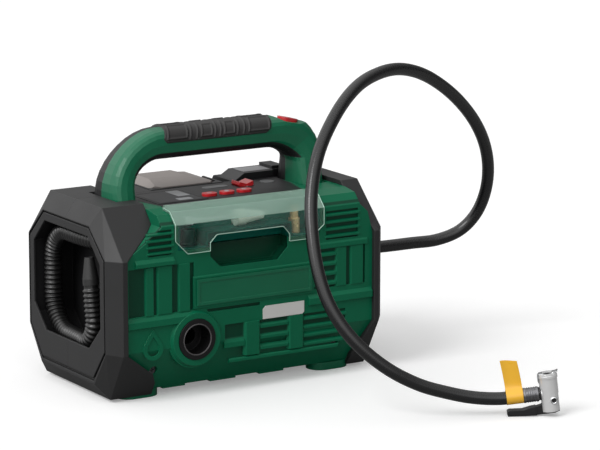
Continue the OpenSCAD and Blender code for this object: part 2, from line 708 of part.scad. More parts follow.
// ================= bumpers =================
module bumper(side, reach) {
    s = side;
    difference() {
        union() {
            hull() {
                along_x(s > 0 ? half_l - 1 : -half_l, s > 0 ? half_l : -half_l + 1) polygon(end_sect);
                along_x(s > 0 ? half_l - bevel_l - 1 : -half_l + bevel_l, s > 0 ? half_l - bevel_l :
                    -half_l + bevel_l + 1)
                    polygon(sect(0));
            }
            intersection() {
                along_x(s > 0 ? half_l - reach : -half_l + bevel_l, s > 0 ? half_l - bevel_l :
                    -half_l + reach) polygon(sect(0));
                along_y(-half_d - 1, half_d + 1) polygon(flap(s, reach, 0));
            }
        }
        along_x(s > 0 ? half_l - reach - 1 : -half_l + bevel_l + 1, s > 0 ? half_l - bevel_l - 1 :
            -half_l + reach + 1)
            polygon(sect(bumper_t - seam_gap));
        along_x(s > 0 ? 0 : -half_l - 1, s > 0 ? half_l + 1 : 0) polygon(opening(0));
        along_x(s > 0 ? 0 : -half_l + lip_t, s > 0 ? half_l - lip_t : 0)
            polygon(cavity(1 + bay_wall + slip_gap));
        // shadow groove round the end face
        difference() {
            along_x(s > 0 ? half_l - groove_d : -half_l - 1, s > 0 ? half_l + 1 : -half_l + groove_d)
                polygon(oct(top_hw - 5.6, half_d - bevel_d - 0.6, bot_hw - 12, bump_top - 17.2,
                    flat_z1 - 0.3, flat_z0 + 1.3, bump_bot + 17));
            along_x(s > 0 ? half_l - far : -half_l - 2, s > 0 ? half_l + 2 : -half_l + far)
                polygon(oct(top_hw - 6.8, half_d - bevel_d - 3.2, bot_hw - 13.4, bump_top - 19,
                    flat_z1 - 1.6, flat_z0 + 2.4, bump_bot + 20));
        }
        // room for the handle leg
        box(s > 0 ? 0 : -leg_out - slip_gap, s > 0 ? right_out + slip_gap : 0,
            handle_y - foot_d / 2 - slip_gap,
            handle_y + foot_d / 2 + slip_gap, deck_z - 1, far);
        // wells of the upper case screws
        for (x = upper_x) rod_y(0, half_d, x, upper_z, head_d + 0.3);
    }
}
module front_half() {
    intersection() {
        children();
        box(-far, far, -far, -seam_gap, -1, far);
    }
}
module rear_half() {
    intersection() {
        children();
        box(-far, far, seam_gap, far, -1, far);
    }
}
module hose_bumper_front() {
    color(dark_grey) front_half() bumper(-1, ear_hose);
}
module hose_bumper_rear() {
    color(dark_grey) rear_half() bumper(-1, ear_hose);
}
module outlet_bumper_front() {
    color(dark_grey) front_half() bumper(1, ear_out);
}
module outlet_bumper_rear() {
    color(dark_grey) rear_half() bumper(1, ear_out);
}
module bay(s, depth) {
    x_lip = half_l - bevel_l - 1;
    x_back = half_l - depth;
    mirror([s > 0 ? 0 : 1, 0, 0]) difference() {
        union() {
            along_x(x_lip - 1.8, x_lip - seam_gap) polygon(sect(bumper_t + wall + slip_gap));
            along_x(x_back - bay_wall, half_l - lip_t - slip_gap) polygon(cavity(1 + bay_wall));
        }
        along_x(x_back, half_l) polygon(cavity(1));
    }
}
module hose_bay() {
    color(soft_black) bay(-1, bay_depth);
}
module outlet_bay() {
    color(soft_black) difference() {
        bay(1, out_depth);
        rod_x(outlet_wall_x - 10, half_l, 0, outlet_z, hose_d + 4 + 2 * run_gap);
    }
}

// ================= handle =================
// the top of the handle dips round the button
module button_well() {
    at = [button_x - button_l / 2, button_x + button_l / 2];
    along_y(handle_y - beam_d, handle_y + beam_d) polygon([[at[0] - 8, handle_top + 0.2],
        [at[0] + 0.5, handle_top - 4.6], [at[1] - 6, handle_top - 7.6], [at[1] + 6, handle_top - 7.8],
        [at[1] + 8, far], [at[0] - 8, far]]);
    at_button() translate([0, 0, button_proud - button_h - button_stroke - slip_gap])
        slot_z(button_l + 2 * slip_gap, button_w + 2 * slip_gap, 30);
}
module handle_front() {
    color(body_green) difference() {
        handle_bar(0);
        rear_zone();
        button_well();
    }
}
module handle_rear() {
    color(soft_black) difference() {
        intersection() {
            handle_bar(0);
            rear_zone();
        }
        button_well();
    }
}
grip_x0 = -62;
grip_x1 = 57;
grip_z = handle_top - 13;
patch_x = [-60, -24, 4, 30, 58];
module handle_grip() {
    color(soft_black) difference() {
        intersection() {
            handle_bar(grip_t);
            along_y(handle_y - beam_d, handle_y + beam_d) polygon([[grip_x0 + 3, handle_top + 5],
                [grip_x0, grip_z + 5],
                [grip_x0 + 5, grip_z], [grip_x1 - 5, grip_z], [grip_x1, grip_z + 4], [grip_x1,
                    handle_top + 5]]);
        }
        handle_bar(0.02);
        // grooves between the pads
        for (i = [1 : 3]) translate([patch_x[i], 0, 0]) rotate([0, 18, 0])
            translate([-handle_in * sin(18) - 10, 0, 0])
            for (k = [0, 7]) box(k, k + 1.6, handle_y - beam_d, handle_y + beam_d, grip_z, far);
    }
}
module handle_button() {
    color(signal_red) at_button() translate([0, 0, button_proud - button_h]) slot_z(button_l, button_w,
        button_h);
}

// ================= controls =================
module control_panel() {
    color(dark_grey) difference() {
        union() {
            translate([0, 0, panel_z0]) linear_extrude(panel_t) polygon(panel_outline(slip_gap));
            // shallow walls of the display surround
            box(screen[0] - screen_rim, screen[1] + screen_rim, screen[2] - screen_rim,
                screen[3] + screen_rim, deck_z - 1, deck_z + screen_in);
        }
        box(screen[0], screen[1], screen[2], screen[3], deck_z - screen_in, deck_z + 2);
        for (x = key_x) translate([x, key_y, panel_z0 - 1]) slot_z(key_l + 2 * slip_gap,
            key_w + 2 * slip_gap, panel_t + 3);
        box(rocker_x - rocker_l / 2 - 0.6, rocker_x + rocker_l / 2 + 0.6,
            rocker_y - rocker_w / 2 - slip_gap,
            rocker_y + rocker_w / 2 + slip_gap, panel_z0 - 1, deck_z + 2);
        rod_y(rocker_y - rocker_w / 2 - 3, rocker_y + rocker_w / 2 + 3, rocker_x, rocker_pin_z,
            rocker_pin_d);
        for (p = plates) translate([p[0], p[1], deck_z - 0.8]) slot_z(p[2] + 0.2, p[3] + 0.2, 4);
    }
}
module display_lens() {
    color([0.35, 0.36, 0.38]) box(screen[0] + 0.2, screen[1] - 0.2, screen[2] + 0.2, screen[3] - 0.2,
        deck_z - screen_in, deck_z + screen_in - 0.1);
}
module key(i) {
    color(signal_red) translate([key_x[i], key_y, panel_z0]) {
        slot_z(key_l, key_w, panel_t + key_stroke + key_rest);
        translate([0, 0, -key_rim - 0.1]) slot_z(key_l + 3, key_w + 3, key_rim);
    }
}
module minus_button() {
    key(0);
}
module unit_button() {
    key(1);
}
module plus_button() {
    key(2);
}
module mode_rocker() {
    color(signal_red) difference() {
        intersection() {
            box(rocker_x - rocker_l / 2, rocker_x + rocker_l / 2, rocker_y - rocker_w / 2,
                rocker_y + rocker_w / 2,
                rocker_pin_z - 4, rocker_pin_z + 9);
            translate([rocker_x, 0, rocker_pin_z]) rotate([90, 0, 0]) translate([0, 0, -half_d])
                linear_extrude(body_d) polygon([[-rocker_l / 2, 2.4], [-rocker_l / 2 + 0.5, 5.6], [0,
                    3.2],
                    [rocker_l / 2 - 0.5, 5.6], [rocker_l / 2, 2.4], [3.4, -3.4], [-3.4, -3.4]]);
        }
        rod_y(rocker_y - rocker_w, rocker_y + rocker_w, rocker_x, rocker_pin_z,
            rocker_pin_d + 2 * run_gap);
    }
}
module rocker_pin() {
    color(steel) rod_y(rocker_y - rocker_w / 2 - 3, rocker_y + rocker_w / 2 + 3, rocker_x,
        rocker_pin_z, rocker_pin_d);
}
// small oval plates let into the panel: [x, y, length, width]
plates = [[69, 1, 14, 13.9], [12, 3, 27, 9]];
module panel_plate() {
    color([0.6, 0.6, 0.62]) for (p = plates) translate([p[0], p[1], deck_z - 0.8]) slot_z(p[2], p[3],
        1.2);
}

// ================= storage =================
module storage_tray() {
    over = recess_z1 + pocket_t + slip_gap;
    back = front_y + recess_depth + pocket_t + slip_gap;
    g = seam_gap;
    color(body_green) difference() {
        union() {
            difference() {
                box(tray_x0 + g, tray_x1 - g, front_y + 0.5, tray_y1, tray_z0 + g, deck_z - 3);
                difference() {
                    box(tray_x0 + tray_t, tray_x1 - tray_t, -half_d, tray_y1 - tray_t,
                        tray_z0 + tray_t, far);
                    box(recess_x0 - pocket_t - slip_gap - tray_t,
                        recess_x1 + pocket_t + slip_gap + tray_t, -half_d, back + tray_t,
                        0, over + tray_t);
                }
            }
            for (x = tray_knuckles) {
                rod_x(x - 2.5, x + 2.5, hinge_y, hinge_z, 2 * knuckle_r);
                box(x - 2.5, x + 2.5, tray_y1 - 1, hinge_y, hinge_z - knuckle_r, hinge_z + 0.6);
            }
        }
        box(recess_x0 - pocket_t - slip_gap, recess_x1 + pocket_t + slip_gap, -half_d, back, 0, over);
        rod_x(tray_x0, tray_x1, hinge_y, hinge_z, lid_pin_d);
        // the front slope
        along_x(tray_x0 - 1, tray_x1 + 1) polygon([[front_y - 1, crease_z - 1], [slope_y,
            slope_z - 0.8], [brow_y, deck_z - 0.8],
            [brow_y, far], [front_y - 1, far]]);
    }
}
function lid_sect(g) = [[front_y - g, lid_z0], [front_y - g, crease_z + 0.4 * g], [slope_y - 0.5 * g,
    slope_z + g],
    [hinge_y + 1.2, deck_z + g]];
module storage_lid() {
    inner = lid_sect(seam_gap + 0.1);
    outer = lid_sect(seam_gap + 0.1 + lid_t);
    color([0.75, 0.88, 0.84, 0.5]) difference() {
        union() {
            difference() {
                along_x(lid_x0, lid_x1) polygon(concat(outer, [inner[3], inner[2], inner[1], inner[0]]));
                // lower corners and the notch over the finger recess
                along_y(-half_d - 5, front_y + 5) polygon([[lid_x0 - 1, lid_z0 - 1], [lid_x0 - 1,
                    lid_z0 + 14], [lid_x0, lid_z0 + 13],
                    [lid_x0 + 13, lid_z0], [lid_x0 + 13, lid_z0 - 1]]);
                along_y(-half_d - 5, front_y + 5) polygon([[lid_x1 + 1, lid_z0 - 1], [lid_x1 + 1,
                    lid_z0 + 13], [lid_x1, lid_z0 + 12],
                    [lid_x1 - 15, lid_z0], [lid_x1 - 15, lid_z0 - 1]]);
                along_y(-half_d - 5, front_y + 5) polygon([[recess_x0 - 1, lid_z0 - 1], [recess_x0 - 1,
                    recess_z1 - 6],
                    [recess_x0 + 6, recess_z1 + 1], [recess_x1 - 6, recess_z1 + 1], [recess_x1 + 1,
                        recess_z1 - 7], [recess_x1 + 1, lid_z0 - 1]]);
            }
            // knuckles under the lid's rear edge
            for (x = lid_knuckles) {
                rod_x(x - knuckle_l / 2, x + knuckle_l / 2, hinge_y, hinge_z, 2 * knuckle_r);
                box(x - knuckle_l / 2, x + knuckle_l / 2, hinge_y - 1.8, hinge_y + 1.2, hinge_z,
                    deck_z + 0.3);
            }
        }
        rod_x(lid_x0 - 1, lid_x1 + 1, hinge_y, hinge_z, lid_pin_d + 2 * run_gap);
        // rear corners, which would meet the deck beside the trough as the lid swings
        for (x = [[lid_x0 - 1, tray_x0 + slip_gap], [tray_x1 - slip_gap, lid_x1 + 1]])
            box(x[0], x[1], hinge_y - lid_corner, hinge_y + 3, hinge_z - 1, deck_z + 5);
    }
}
module lid_hinge_pin() {
    color(steel) rod_x(tray_knuckles[0] - 2.5, tray_knuckles[len(tray_knuckles) - 1] + 2.5, hinge_y,
        hinge_z, lid_pin_d);
}
shelf_z = recess_z1 + pocket_t + slip_gap + tray_t;
item_y = tray_y1 - tray_t - 8.4;
module cone_adapter() {
    color([0.93, 0.92, 0.88]) difference() {
        union() {
            translate([-12, item_y, shelf_z + 7.6]) rotate([0, 90, 0]) cylinder(h = 10, d = 15, $fn = 40);
            translate([-2, item_y, shelf_z + 7.6]) rotate([0, 90, 0]) cylinder(h = 20, d1 = 13, d2 = 7,
                $fn = 40);
        }
        rod_x(-13, 20, item_y, shelf_z + 7.6, 4);
    }
}
module ball_needle() {
    color(steel) difference() {
        union() {
            translate([-66, item_y, tray_z0 + tray_t + 22]) rotate([0, 90, 0]) cylinder(h = 7, d = 9.5,
                $fn = 6);
            rod_x(-59, -54, item_y, tray_z0 + tray_t + 22, 6);
            rod_x(-54, -22, item_y, tray_z0 + tray_t + 22, 2.6);
        }
        rod_x(-67, -21, item_y, tray_z0 + tray_t + 22, 1.2);
    }
}
module brass_adapter() {
    color([0.80, 0.62, 0.28]) difference() {
        union() {
            rod_z(tray_z0 + tray_t + eps, tray_z0 + tray_t + 14, 53, item_y, 11);
            rod_z(tray_z0 + tray_t + 14, tray_z0 + tray_t + 25, 53, item_y, 8);
        }
        rod_z(tray_z0, tray_z0 + 40, 53, item_y, 4.2);
    }
}
module mattress_adapter() {
    color([0.45, 0.46, 0.47]) difference() {
        union() {
            rod_z(tray_z0 + tray_t + eps, tray_z0 + tray_t + 3, -62, item_y, 15.5);
            rod_z(tray_z0 + tray_t + 3, tray_z0 + tray_t + 15, -62, item_y, 13);
        }
        rod_z(tray_z0, tray_z0 + 40, -62, item_y, 9.5);
    }
}

// ================= ribbed hose =================
module ribbed_hose() {
    outer = [for (s = skin) for (p = coil_ring(s[0], s[1])) p];
    inner = [for (s = bore) for (p = coil_ring(s, lp_bore_r)) p];
    n = lp_sides;
    a = len(skin);
    b = len(bore);
    o = a * n;
    wall_out = [for (i = [0 : a - 2]) for (k = [0 : n - 1]) for (t = [0, 1]) let (p = i * n + k,
        q = i * n + (k + 1) % n)
        t == 0 ? [p, q, q + n] : [p, q + n, p + n]];
    wall_in = [for (i = [0 : b - 2]) for (k = [0 : n - 1]) for (t = [0, 1]) let (p = o + i * n + k,
        q = o + i * n + (k + 1) % n)
        t == 0 ? [p, q + n, q] : [p, p + n, q + n]];
    mouth = [for (k = [0 : n - 1]) for (t = [0, 1]) let (q = (k + 1) % n) t == 0 ? [k, o + k, o + q] :
        [k, o + q, q]];
    last = (a - 1) * n;
    tip = o + (b - 1) * n;
    tail = [for (k = [0 : n - 1]) for (t = [0, 1]) let (q = (k + 1) % n)
        t == 0 ? [last + k, tip + q, tip + k] : [last + k, last + q, tip + q]];
    color(soft_black) polyhedron(points = concat(outer, inner), faces = concat(wall_out, wall_in,
        mouth, tail));
}
cuff_at = coil_at(0);
module hose_cuff() {
    color([0.32, 0.32, 0.33]) translate(cuff_at) rotate([-cuff_lean, 0, 0]) translate([0, 0, eps])
        difference() {
        union() {
            cylinder(h = 6, d = cuff_d, $fn = 48);
            translate([0, 0, 6]) cylinder(h = cuff_l - 6, d1 = cuff_d, d2 = cuff_tip, $fn = 48);
        }
        translate([0, 0, -1]) cylinder(h = cuff_l + 2, d1 = 2 * lp_bore_r, d2 = cuff_tip - 4, $fn = 48);
    }
}

// ================= port and plates =================
module port_ring() {
    color(soft_black) difference() {
        rod_y(front_y - frame_proud - 1, blower_y0 - seam_gap, port_x, port_z, port_od);
        rod_y(-half_d - 5, front_y + mouth_l, port_x, port_z, port_bore);
        rod_y(-half_d, 0, port_x, port_z, throat_d);
    }
}
module name_plate() {
    color(body_green) difference() {
        box(plate_x0 + 0.1, plate_x1 - 0.1, front_y - plate_proud, front_y + 0.4, plate_z0 + 0.1,
            plate_z1 - 0.1);
        box(plate_x0 + 3, plate_x1 - 3, -half_d, front_y - plate_proud + 0.6, plate_z0 + 3, plate_z1 - 3);
    }
}
module level_label() {
    color([0.85, 0.84, 0.80]) along_y(front_y - 0.7, front_y - eps) polygon([[label_x0, label_z0],
        [label_x1 - 2, label_z0],
        [label_x1, label_z0 + 2], [label_x1, label_z1], [label_x0 + 3, label_z1], [label_x0,
            label_z1 - 3]]);
}

// ================= battery =================
module pack_body(g) {
    x0 = pack_x - pack_w / 2 - g;
    x1 = pack_x + pack_w / 2 + g;
    y0 = pack_y0 - g;
    y1 = pack_y0 + pack_d + g;
    translate([0, 0, pack_z0]) linear_extrude(pack_h) polygon([[x0, y0 + 8], [x0 + 10, y0], [x1 - 10,
        y0], [x1, y0 + 8],
        [x1, y1 - 5], [x1 - 5, y1], [x0 + 5, y1], [x0, y1 - 5]]);
}
module guides(g) {
    for (s = [-1, 1]) translate([pack_x + s * pack_w / 2, pack_y0 + pack_d / 2, 0])
        box(-guide_d - g, guide_d + g, -guide_w / 2 - g, guide_w / 2 + g, pack_z0 - 1, deck_z - 12);
}
dock_profile = [[dock_y0, dock_z0], [dock_y1, dock_z0], [dock_y1, flat_z1 + 12], [top_hw + 4,
    deck_z + 0.5],
    [dock_y0, deck_z + 0.5]];
unit_y1 = dock_y0 + unit_d;
unit_y2 = dock_y1 - 8;
badge_x0 = unit_wall_x + 12;
badge_x1 = dock_x1 - 17;
module rear_housing() {
    color(dark_grey) difference() {
        union() {
            along_x(dock_x0, unit_x0) polygon(dock_profile);
            intersection() {
                along_x(unit_x0 - 1, dock_x1) polygon(dock_profile);
                box(unit_x0 - 1, dock_x1, dock_y0, unit_y2, flat_z1 + 2, deck_z);
            }
            // raised unit beside the battery
            along_y(dock_y0, unit_y1) polygon([[unit_wall_x - 4, deck_z - 2], [unit_wall_x, deck_z + 1],
                [unit_wall_x + 9, unit_top], [dock_x1 - 3, unit_top], [dock_x1, unit_top - 3],
                    [dock_x1, deck_z - 2]]);
            box(dock_x1 - 15, dock_x1 - 2, dock_y0 + 6, unit_y1, deck_z, unit_top + unit_step);
        }
        difference() {
            pack_body(slip_gap);
            guides(-slip_gap);
        }
        translate([0, 0, pack_h - 10]) pack_body(slip_gap);
        // hollow under the unit
        along_x(unit_wall_x - 4 + dock_t, dock_x1 - dock_t) polygon([[dock_y0 + dock_t, flat_z1 + 1],
            [unit_y2 - dock_t, flat_z1 + 1], [unit_y2 - dock_t, flat_z1 + 14], [top_hw, deck_z - 4],
            [dock_y0 + dock_t, deck_z - 4]]);
        box(badge_x0, badge_x1, dock_y0 + 6, unit_y1 - 4, unit_top - 0.8, unit_top + 1);
        for (x = contact_x) box(pack_x + x - 1, pack_x + x + 1, pack_y0 + 12, pack_y0 + 34,
            dock_z0 - 1, pack_z0 + 1);
        // free space between the battery and the raised unit, open to the rear
        box(unit_x0, unit_wall_x - 4, dock_y0 + dock_t, half_d, deck_z - gap_depth, far);
        handle_seat();
    }
}
module rear_badge() {
    color([0.8, 0.8, 0.8]) box(badge_x0 + 0.1, badge_x1 - 0.1, dock_y0 + 6.1, unit_y1 - 4.1,
        unit_top - 0.8, unit_top + 0.3);
}
pack_y1 = pack_y0 + pack_d;
latch_z0 = pack_z1 - 27;
module battery_pack() {
    x0 = pack_x - pack_w / 2;
    x1 = pack_x + pack_w / 2;
    color([0.55, 0.53, 0.51]) difference() {
        pack_body(0);
        guides(0);
        // contact slots underneath
        for (x = contact_x) box(pack_x + x - 1.8, pack_x + x + 1.8, pack_y0 + 8, pack_y0 + 38,
            pack_z0 - 1, pack_z0 + 14);
        // sloping edges of the top
        along_y(pack_y0 - 1, pack_y1 + 1) polygon([[x0 - 1, pack_z1 - 7], [x0 + 12, pack_z1 + 1],
            [x0 - 1, pack_z1 + 1]]);
        along_y(pack_y0 - 1, pack_y1 + 1) polygon([[x1 + 1, pack_z1 - 12], [x1 - 8, pack_z1 - 3],
            [x1 - 16, pack_z1 - 2.4], [x1 - 24, pack_z1], [x1 - 24, pack_z1 + 1], [x1 + 1, pack_z1 + 1]]);
        along_x(x0 - 1, x1 + 1) polygon([[pack_y0 - 1, pack_z1 - 4.6], [pack_y0 + 2, pack_z1 - 3.6],
            [pack_y0 + 25, pack_z1], [pack_y0 + 25, pack_z1 + 1], [pack_y0 - 1, pack_z1 + 1]]);
        // latch pocket in the back
        box(pack_x - latch_w / 2 - slip_gap, pack_x + latch_w / 2 + slip_gap,
            pack_y1 - latch_d - latch_stroke - slip_gap,
            pack_y1 + 1, latch_z0 - slip_gap, latch_z0 + latch_h + slip_gap);
    }
}
module battery_latch() {
    color(signal_red) difference() {
        box(pack_x - latch_w / 2, pack_x + latch_w / 2, pack_y1 - latch_d, pack_y1 - 0.2, latch_z0,
            latch_z0 + latch_h);
        for (i = [1 : 3]) box(pack_x - latch_w / 2 + 3, pack_x + latch_w / 2 - 3, pack_y1 - 1, pack_y1,
            latch_z0 + 2.4 * i - 0.6, latch_z0 + 2.4 * i + 0.6);
    }
}
module battery_contacts() {
    color([0.80, 0.62, 0.28]) for (x = contact_x)
        box(pack_x + x - 0.8, pack_x + x + 0.8, pack_y0 + 13, pack_y0 + 33, dock_z0 - 4, pack_z0 + 11);
}

// ================= fasteners and feet =================
module screw(l, d) {
    rotate([90, 0, 0]) {
        difference() {
            cylinder(h = 2.6, d = 7.6, $fn = 32);
            translate([0, 0, 1.2]) linear_extrude(3) {
                square([4.4, 1], center = true);
                square([1, 4.4], center = true);
            }
        }
        translate([0, 0, -l]) cylinder(h = l + eps, d = d, $fn = 24);
    }
}
module case_screws() {
    color(steel) {
        for (x = post_x) translate([x, -lower_seat - eps, screw_z]) screw(lower_seat + 32, 3.1);
        for (x = upper_x) translate([x, upper_seat + eps, upper_z]) rotate([0, 0, 180])
            screw(upper_seat + 30, 3.1);
    }
}
foot_l = 42;
foot_w = 26;
foot_x = 105;
foot_y = 50;
module feet() {
    color(body_green) difference() {
        for (sx = [-1, 1]) for (sy = [-1, 1]) translate([sx * foot_x, sy * foot_y, 0]) {
            slot_z(foot_l, foot_w, shell_bot - seam_gap);
        }
        difference() {
            bumper_core();
            box(-half_l + ear_hose + 0.2, half_l - ear_out - 0.2, -half_d, half_d, 0, far);
        }
    }
}
module bumper_core() {
    along_x(-half_l, half_l) polygon(sect(-seam_gap));
}

// ================= electronics =================
board_z = panel_z0 - 15.5;
module circuit_board() {
    color([0.05, 0.35, 0.15]) {
        difference() {
            union() {
                box(-66, 78, -50, 13, board_z, board_z + 1.6);
                box(-74, -26, -36, 2, board_z + 1.5, board_z + 8);
                for (x = key_x) box(x - 3, x + 3, key_y - 3, key_y + 3, board_z + 1.5, panel_z0 - 3.2);
            }
            for (x = [-60, 72]) for (y = [-44, 8]) rod_z(board_z - 1, board_z + 3, x, y, 3.2);
        }
    }
}

// ================= piston pump =================
module pump_motor() {
    color(steel) {
        rod_x(motor_x0, motor_x0 + motor_l, pump_y, motor_z, motor_d);
        rod_x(motor_x0 + motor_l, motor_x0 + motor_l + 3, pump_y, motor_z, 14);
        rod_x(gear_x0, motor_x0, pump_y, motor_z, shaft_d);
    }
}
// spur gear along +X with a tooth pointing down
module toothed(teeth, t, bore_d, bore_from) {
    r = tooth_m * teeth / 2;
    w = 180 / teeth;
    function at(q, a) = [q * cos(a), q * sin(a)];
    rotate([0, 90, 0]) difference() {
        linear_extrude(t) polygon([for (i = [0 : teeth - 1]) for (k = [0 : 3]) let (a = 2 * w * i)
            k == 0 ? at(r - 1.1 * tooth_m, a - 0.58 * w) : k == 1 ? at(r + 0.7 * tooth_m, a - 0.2 * w) :
            k == 2 ? at(r + 0.7 * tooth_m, a + 0.2 * w) : at(r - 1.1 * tooth_m, a + 0.58 * w)]);
        translate([0, 0, bore_from]) cylinder(h = t + 2, d = bore_d, $fn = 32);
    }
}
module motor_pinion() {
    color([0.75, 0.65, 0.4]) translate([gear_x0, pump_y, motor_z]) rotate([180 / pinion_teeth, 0, 0])
        toothed(pinion_teeth, gear_t, shaft_d + 2 * run_gap, -1);
}
module crank_gear() {
    color([0.85, 0.83, 0.75]) {
        translate([gear_x0, pump_y, gear_z]) toothed(gear_teeth, gear_t, stub_d + 2 * run_gap,
            gear_web);
        rod_x(cyl_x - rod_t / 2 - 1, gear_x0 + gear_web - 0.5, pump_y, gear_z + throw, crank_d);
    }
}
wrist_z = gear_z + throw + rod_l;
module connecting_rod() {
    color(steel) difference() {
        union() {
            rod_x(cyl_x - rod_t / 2, cyl_x + rod_t / 2, pump_y, gear_z + throw, crank_d + 5);
            rod_x(cyl_x - rod_t / 2, cyl_x + rod_t / 2, pump_y, wrist_z, wrist_d + 3.5);
            box(cyl_x - 1.5, cyl_x + 1.5, pump_y - 2.5, pump_y + 2.5, gear_z + throw, wrist_z);
        }
        rod_x(cyl_x - 10, cyl_x + 10, pump_y, gear_z + throw, crank_d + 2 * run_gap);
        rod_x(cyl_x - 10, cyl_x + 10, pump_y, wrist_z, wrist_d + 0.02);
    }
}
module wrist_pin() {
    color(steel) rod_x(cyl_x - 5, cyl_x + 5, pump_y, wrist_z, wrist_d);
}
crown_z = wrist_z + wrist_d / 2 + 1.75 + ring_gap;
piston_top = crown_z + 2;
// cup-shaped, with room for the rod's small end
module piston() {
    color([0.7, 0.7, 0.72]) difference() {
        rod_z(piston_top - piston_h, piston_top, cyl_x, pump_y, cyl_bore - 2 * run_gap);
        rod_z(piston_top - piston_h - 1, crown_z, cyl_x, pump_y,
            cyl_bore - 2 * run_gap - 2 * piston_wall);
        // groove of the sealing ring
        difference() {
            rod_z(piston_top - 4.2, piston_top - 2.8, cyl_x, pump_y, cyl_bore + 1);
            rod_z(piston_top - 4.3, piston_top - 2.7, cyl_x, pump_y, cyl_bore - 1.1);
        }
    }
}
head_z = piston_top + 1;
module pump_cylinder() {
    base = piston_top - piston_h - 2 * throw - 1;
    color([0.68, 0.69, 0.70]) difference() {
        union() {
            rod_z(base, head_z + 6, cyl_x, pump_y, cyl_bore + 6);
            for (i = [0 : 3]) rod_z(head_z - 1.5 - 5 * i, head_z - 5 * i, cyl_x, pump_y, cyl_bore + 14);
            rod_x(cyl_x, cyl_x + cyl_bore / 2 + 8, pump_y, head_z + 3, 7);
        }
        rod_z(base - 1, head_z, cyl_x, pump_y, cyl_bore);
        rod_x(cyl_x, cyl_x + cyl_bore, pump_y, head_z + 3, 3);
    }
}
module pump_frame() {
    top = piston_top - piston_h - 2 * throw + 2;
    floor_z = shell_bot + wall + 0.1;
    color([0.35, 0.36, 0.37]) difference() {
        union() {
            box(frame_x0, frame_x0 + frame_t, pump_y - 26, pump_y + 26, floor_z, top);
            box(frame_x0 - 20, frame_x0 + 50, pump_y - 26, pump_y + 26, floor_z, floor_z + 4);
            box(cyl_x - 17, frame_x0 + 1, pump_y - 18, pump_y + 18, top - 4, top);
            rod_x(gear_x0 + gear_web + 0.1, frame_x0 + 1, pump_y, gear_z, stub_d);
        }
        rod_x(frame_x0 - 1, frame_x0 + frame_t + 1, pump_y, motor_z, shaft_d + 2);
        rod_z(top - 5, top + 1, cyl_x, pump_y, cyl_bore + 6.1);
    }
}
module pressure_pipe() {
    z = head_z + 3;
    x = cyl_x + cyl_bore / 2 + 8;
    color([0.8, 0.62, 0.28]) {
        rod_x(x, pipe_x, pump_y, z, 5);
        rod_z(outlet_z - 4, z + 4, pipe_x, pump_y, 7);
        rod_y(pump_y, 0, pipe_x, outlet_z, 5);
        rod_x(pipe_x - 5, outlet_wall_x - bay_wall - 0.1, 0, outlet_z, 8);
    }
}

// ================= blower =================
module blower_housing() {
    color([0.25, 0.25, 0.26]) difference() {
        union() {
            rod_y(blower_y0, blower_y0 + blower_l, blower_x, blower_z, 2 * blower_r);
            box(blower_x - 6, blower_x + 6, blower_y0 + 2, blower_y0 + blower_l,
                shell_bot + wall + 0.1, blower_z - blower_r + 3);
        }
        rod_y(blower_y0 + 2.5, blower_y0 + blower_l - 2.5, blower_x, blower_z, 2 * blower_r - 5);
        rod_y(blower_y0 - 1, blower_y0 + 5, port_x, port_z, throat_d + 1);
        rod_y(blower_y0 + blower_l - 5, blower_y0 + blower_l + 1, blower_x, blower_z, 12);
    }
}
impeller_r = blower_r - 5;
impeller_bore = shaft_d + 2 * run_gap;
module blower_impeller() {
    y0 = blower_y0 + 5;
    y1 = blower_y0 + blower_l - 6;
    color([0.5, 0.5, 0.52]) difference() {
        union() {
            rod_y(y1 - 2, y1, blower_x, blower_z, 2 * impeller_r);
            rod_y(y0 + 3, y1, blower_x, blower_z, 12);
            for (i = [0 : 11]) translate([blower_x, 0, blower_z]) rotate([0, 30 * i, 0]) translate([10,
                0, -1]) rotate([0, 25, 0])
                box(0, impeller_r - 12.5, y0, y1 - 1, 0, 1.4);
        }
        rod_y(y0 - 1, y1 + 1, blower_x, blower_z, impeller_bore);
    }
}
module blower_motor() {
    color(steel) {
        rod_y(blower_y0 + blower_l + seam_gap, blower_y0 + blower_l + 32, blower_x, blower_z, 32);
        rod_y(blower_y0 + 8, blower_y0 + blower_l + 1, blower_x, blower_z, shaft_d);
    }
}

// ================= pressure hose and chuck =================
function mix(a, b, t) = a * (1 - t) + b * t;
// smooth curve through the route's points
function spline(p, i, t) = let (a = p[max(0, i - 1)], b = p[i], c = p[i + 1], d = p[min(len(p) - 1,
    i + 2)])
    0.5 * (2 * b + (c - a) * t + (2 * a - 5 * b + 4 * c - d) * t * t + (3 * b - a - 3 * c + d) * t * t * t);
hose_line = concat([for (i = [0 : len(hose_route) - 2]) for (k = [0, 0.5]) spline(hose_route, i, k)],
    [hose_route[len(hose_route) - 1]]);
function line_dir(p, i) = unit(p[min(len(p) - 1, i + 1)] - p[max(0, i - 1)]);
end_dir = [cos(chuck_pitch) * cos(chuck_yaw), cos(chuck_pitch) * sin(chuck_yaw), sin(chuck_pitch)];
function hose_dir(i) = i == 0 ? [1, 0, 0] : i == len(hose_line) - 1 ? end_dir : line_dir(hose_line, i);
function frame_u(t) = unit(cross(t, [0.12, 1, 0.2]));
module pressure_hose() {
    rings = [for (i = [0 : len(hose_line) - 1]) let (t = hose_dir(i), u = frame_u(t), v = cross(t, u))
        [for (k = [0 : hose_sides - 1]) let (a = 360 * k / hose_sides)
            hose_line[i] + hose_d / 2 * (u * cos(a) + v * sin(a))]];
    color(soft_black) polyhedron(points = [for (r = rings) for (p = r) p],
        faces = tube_faces(len(rings), hose_sides));
}
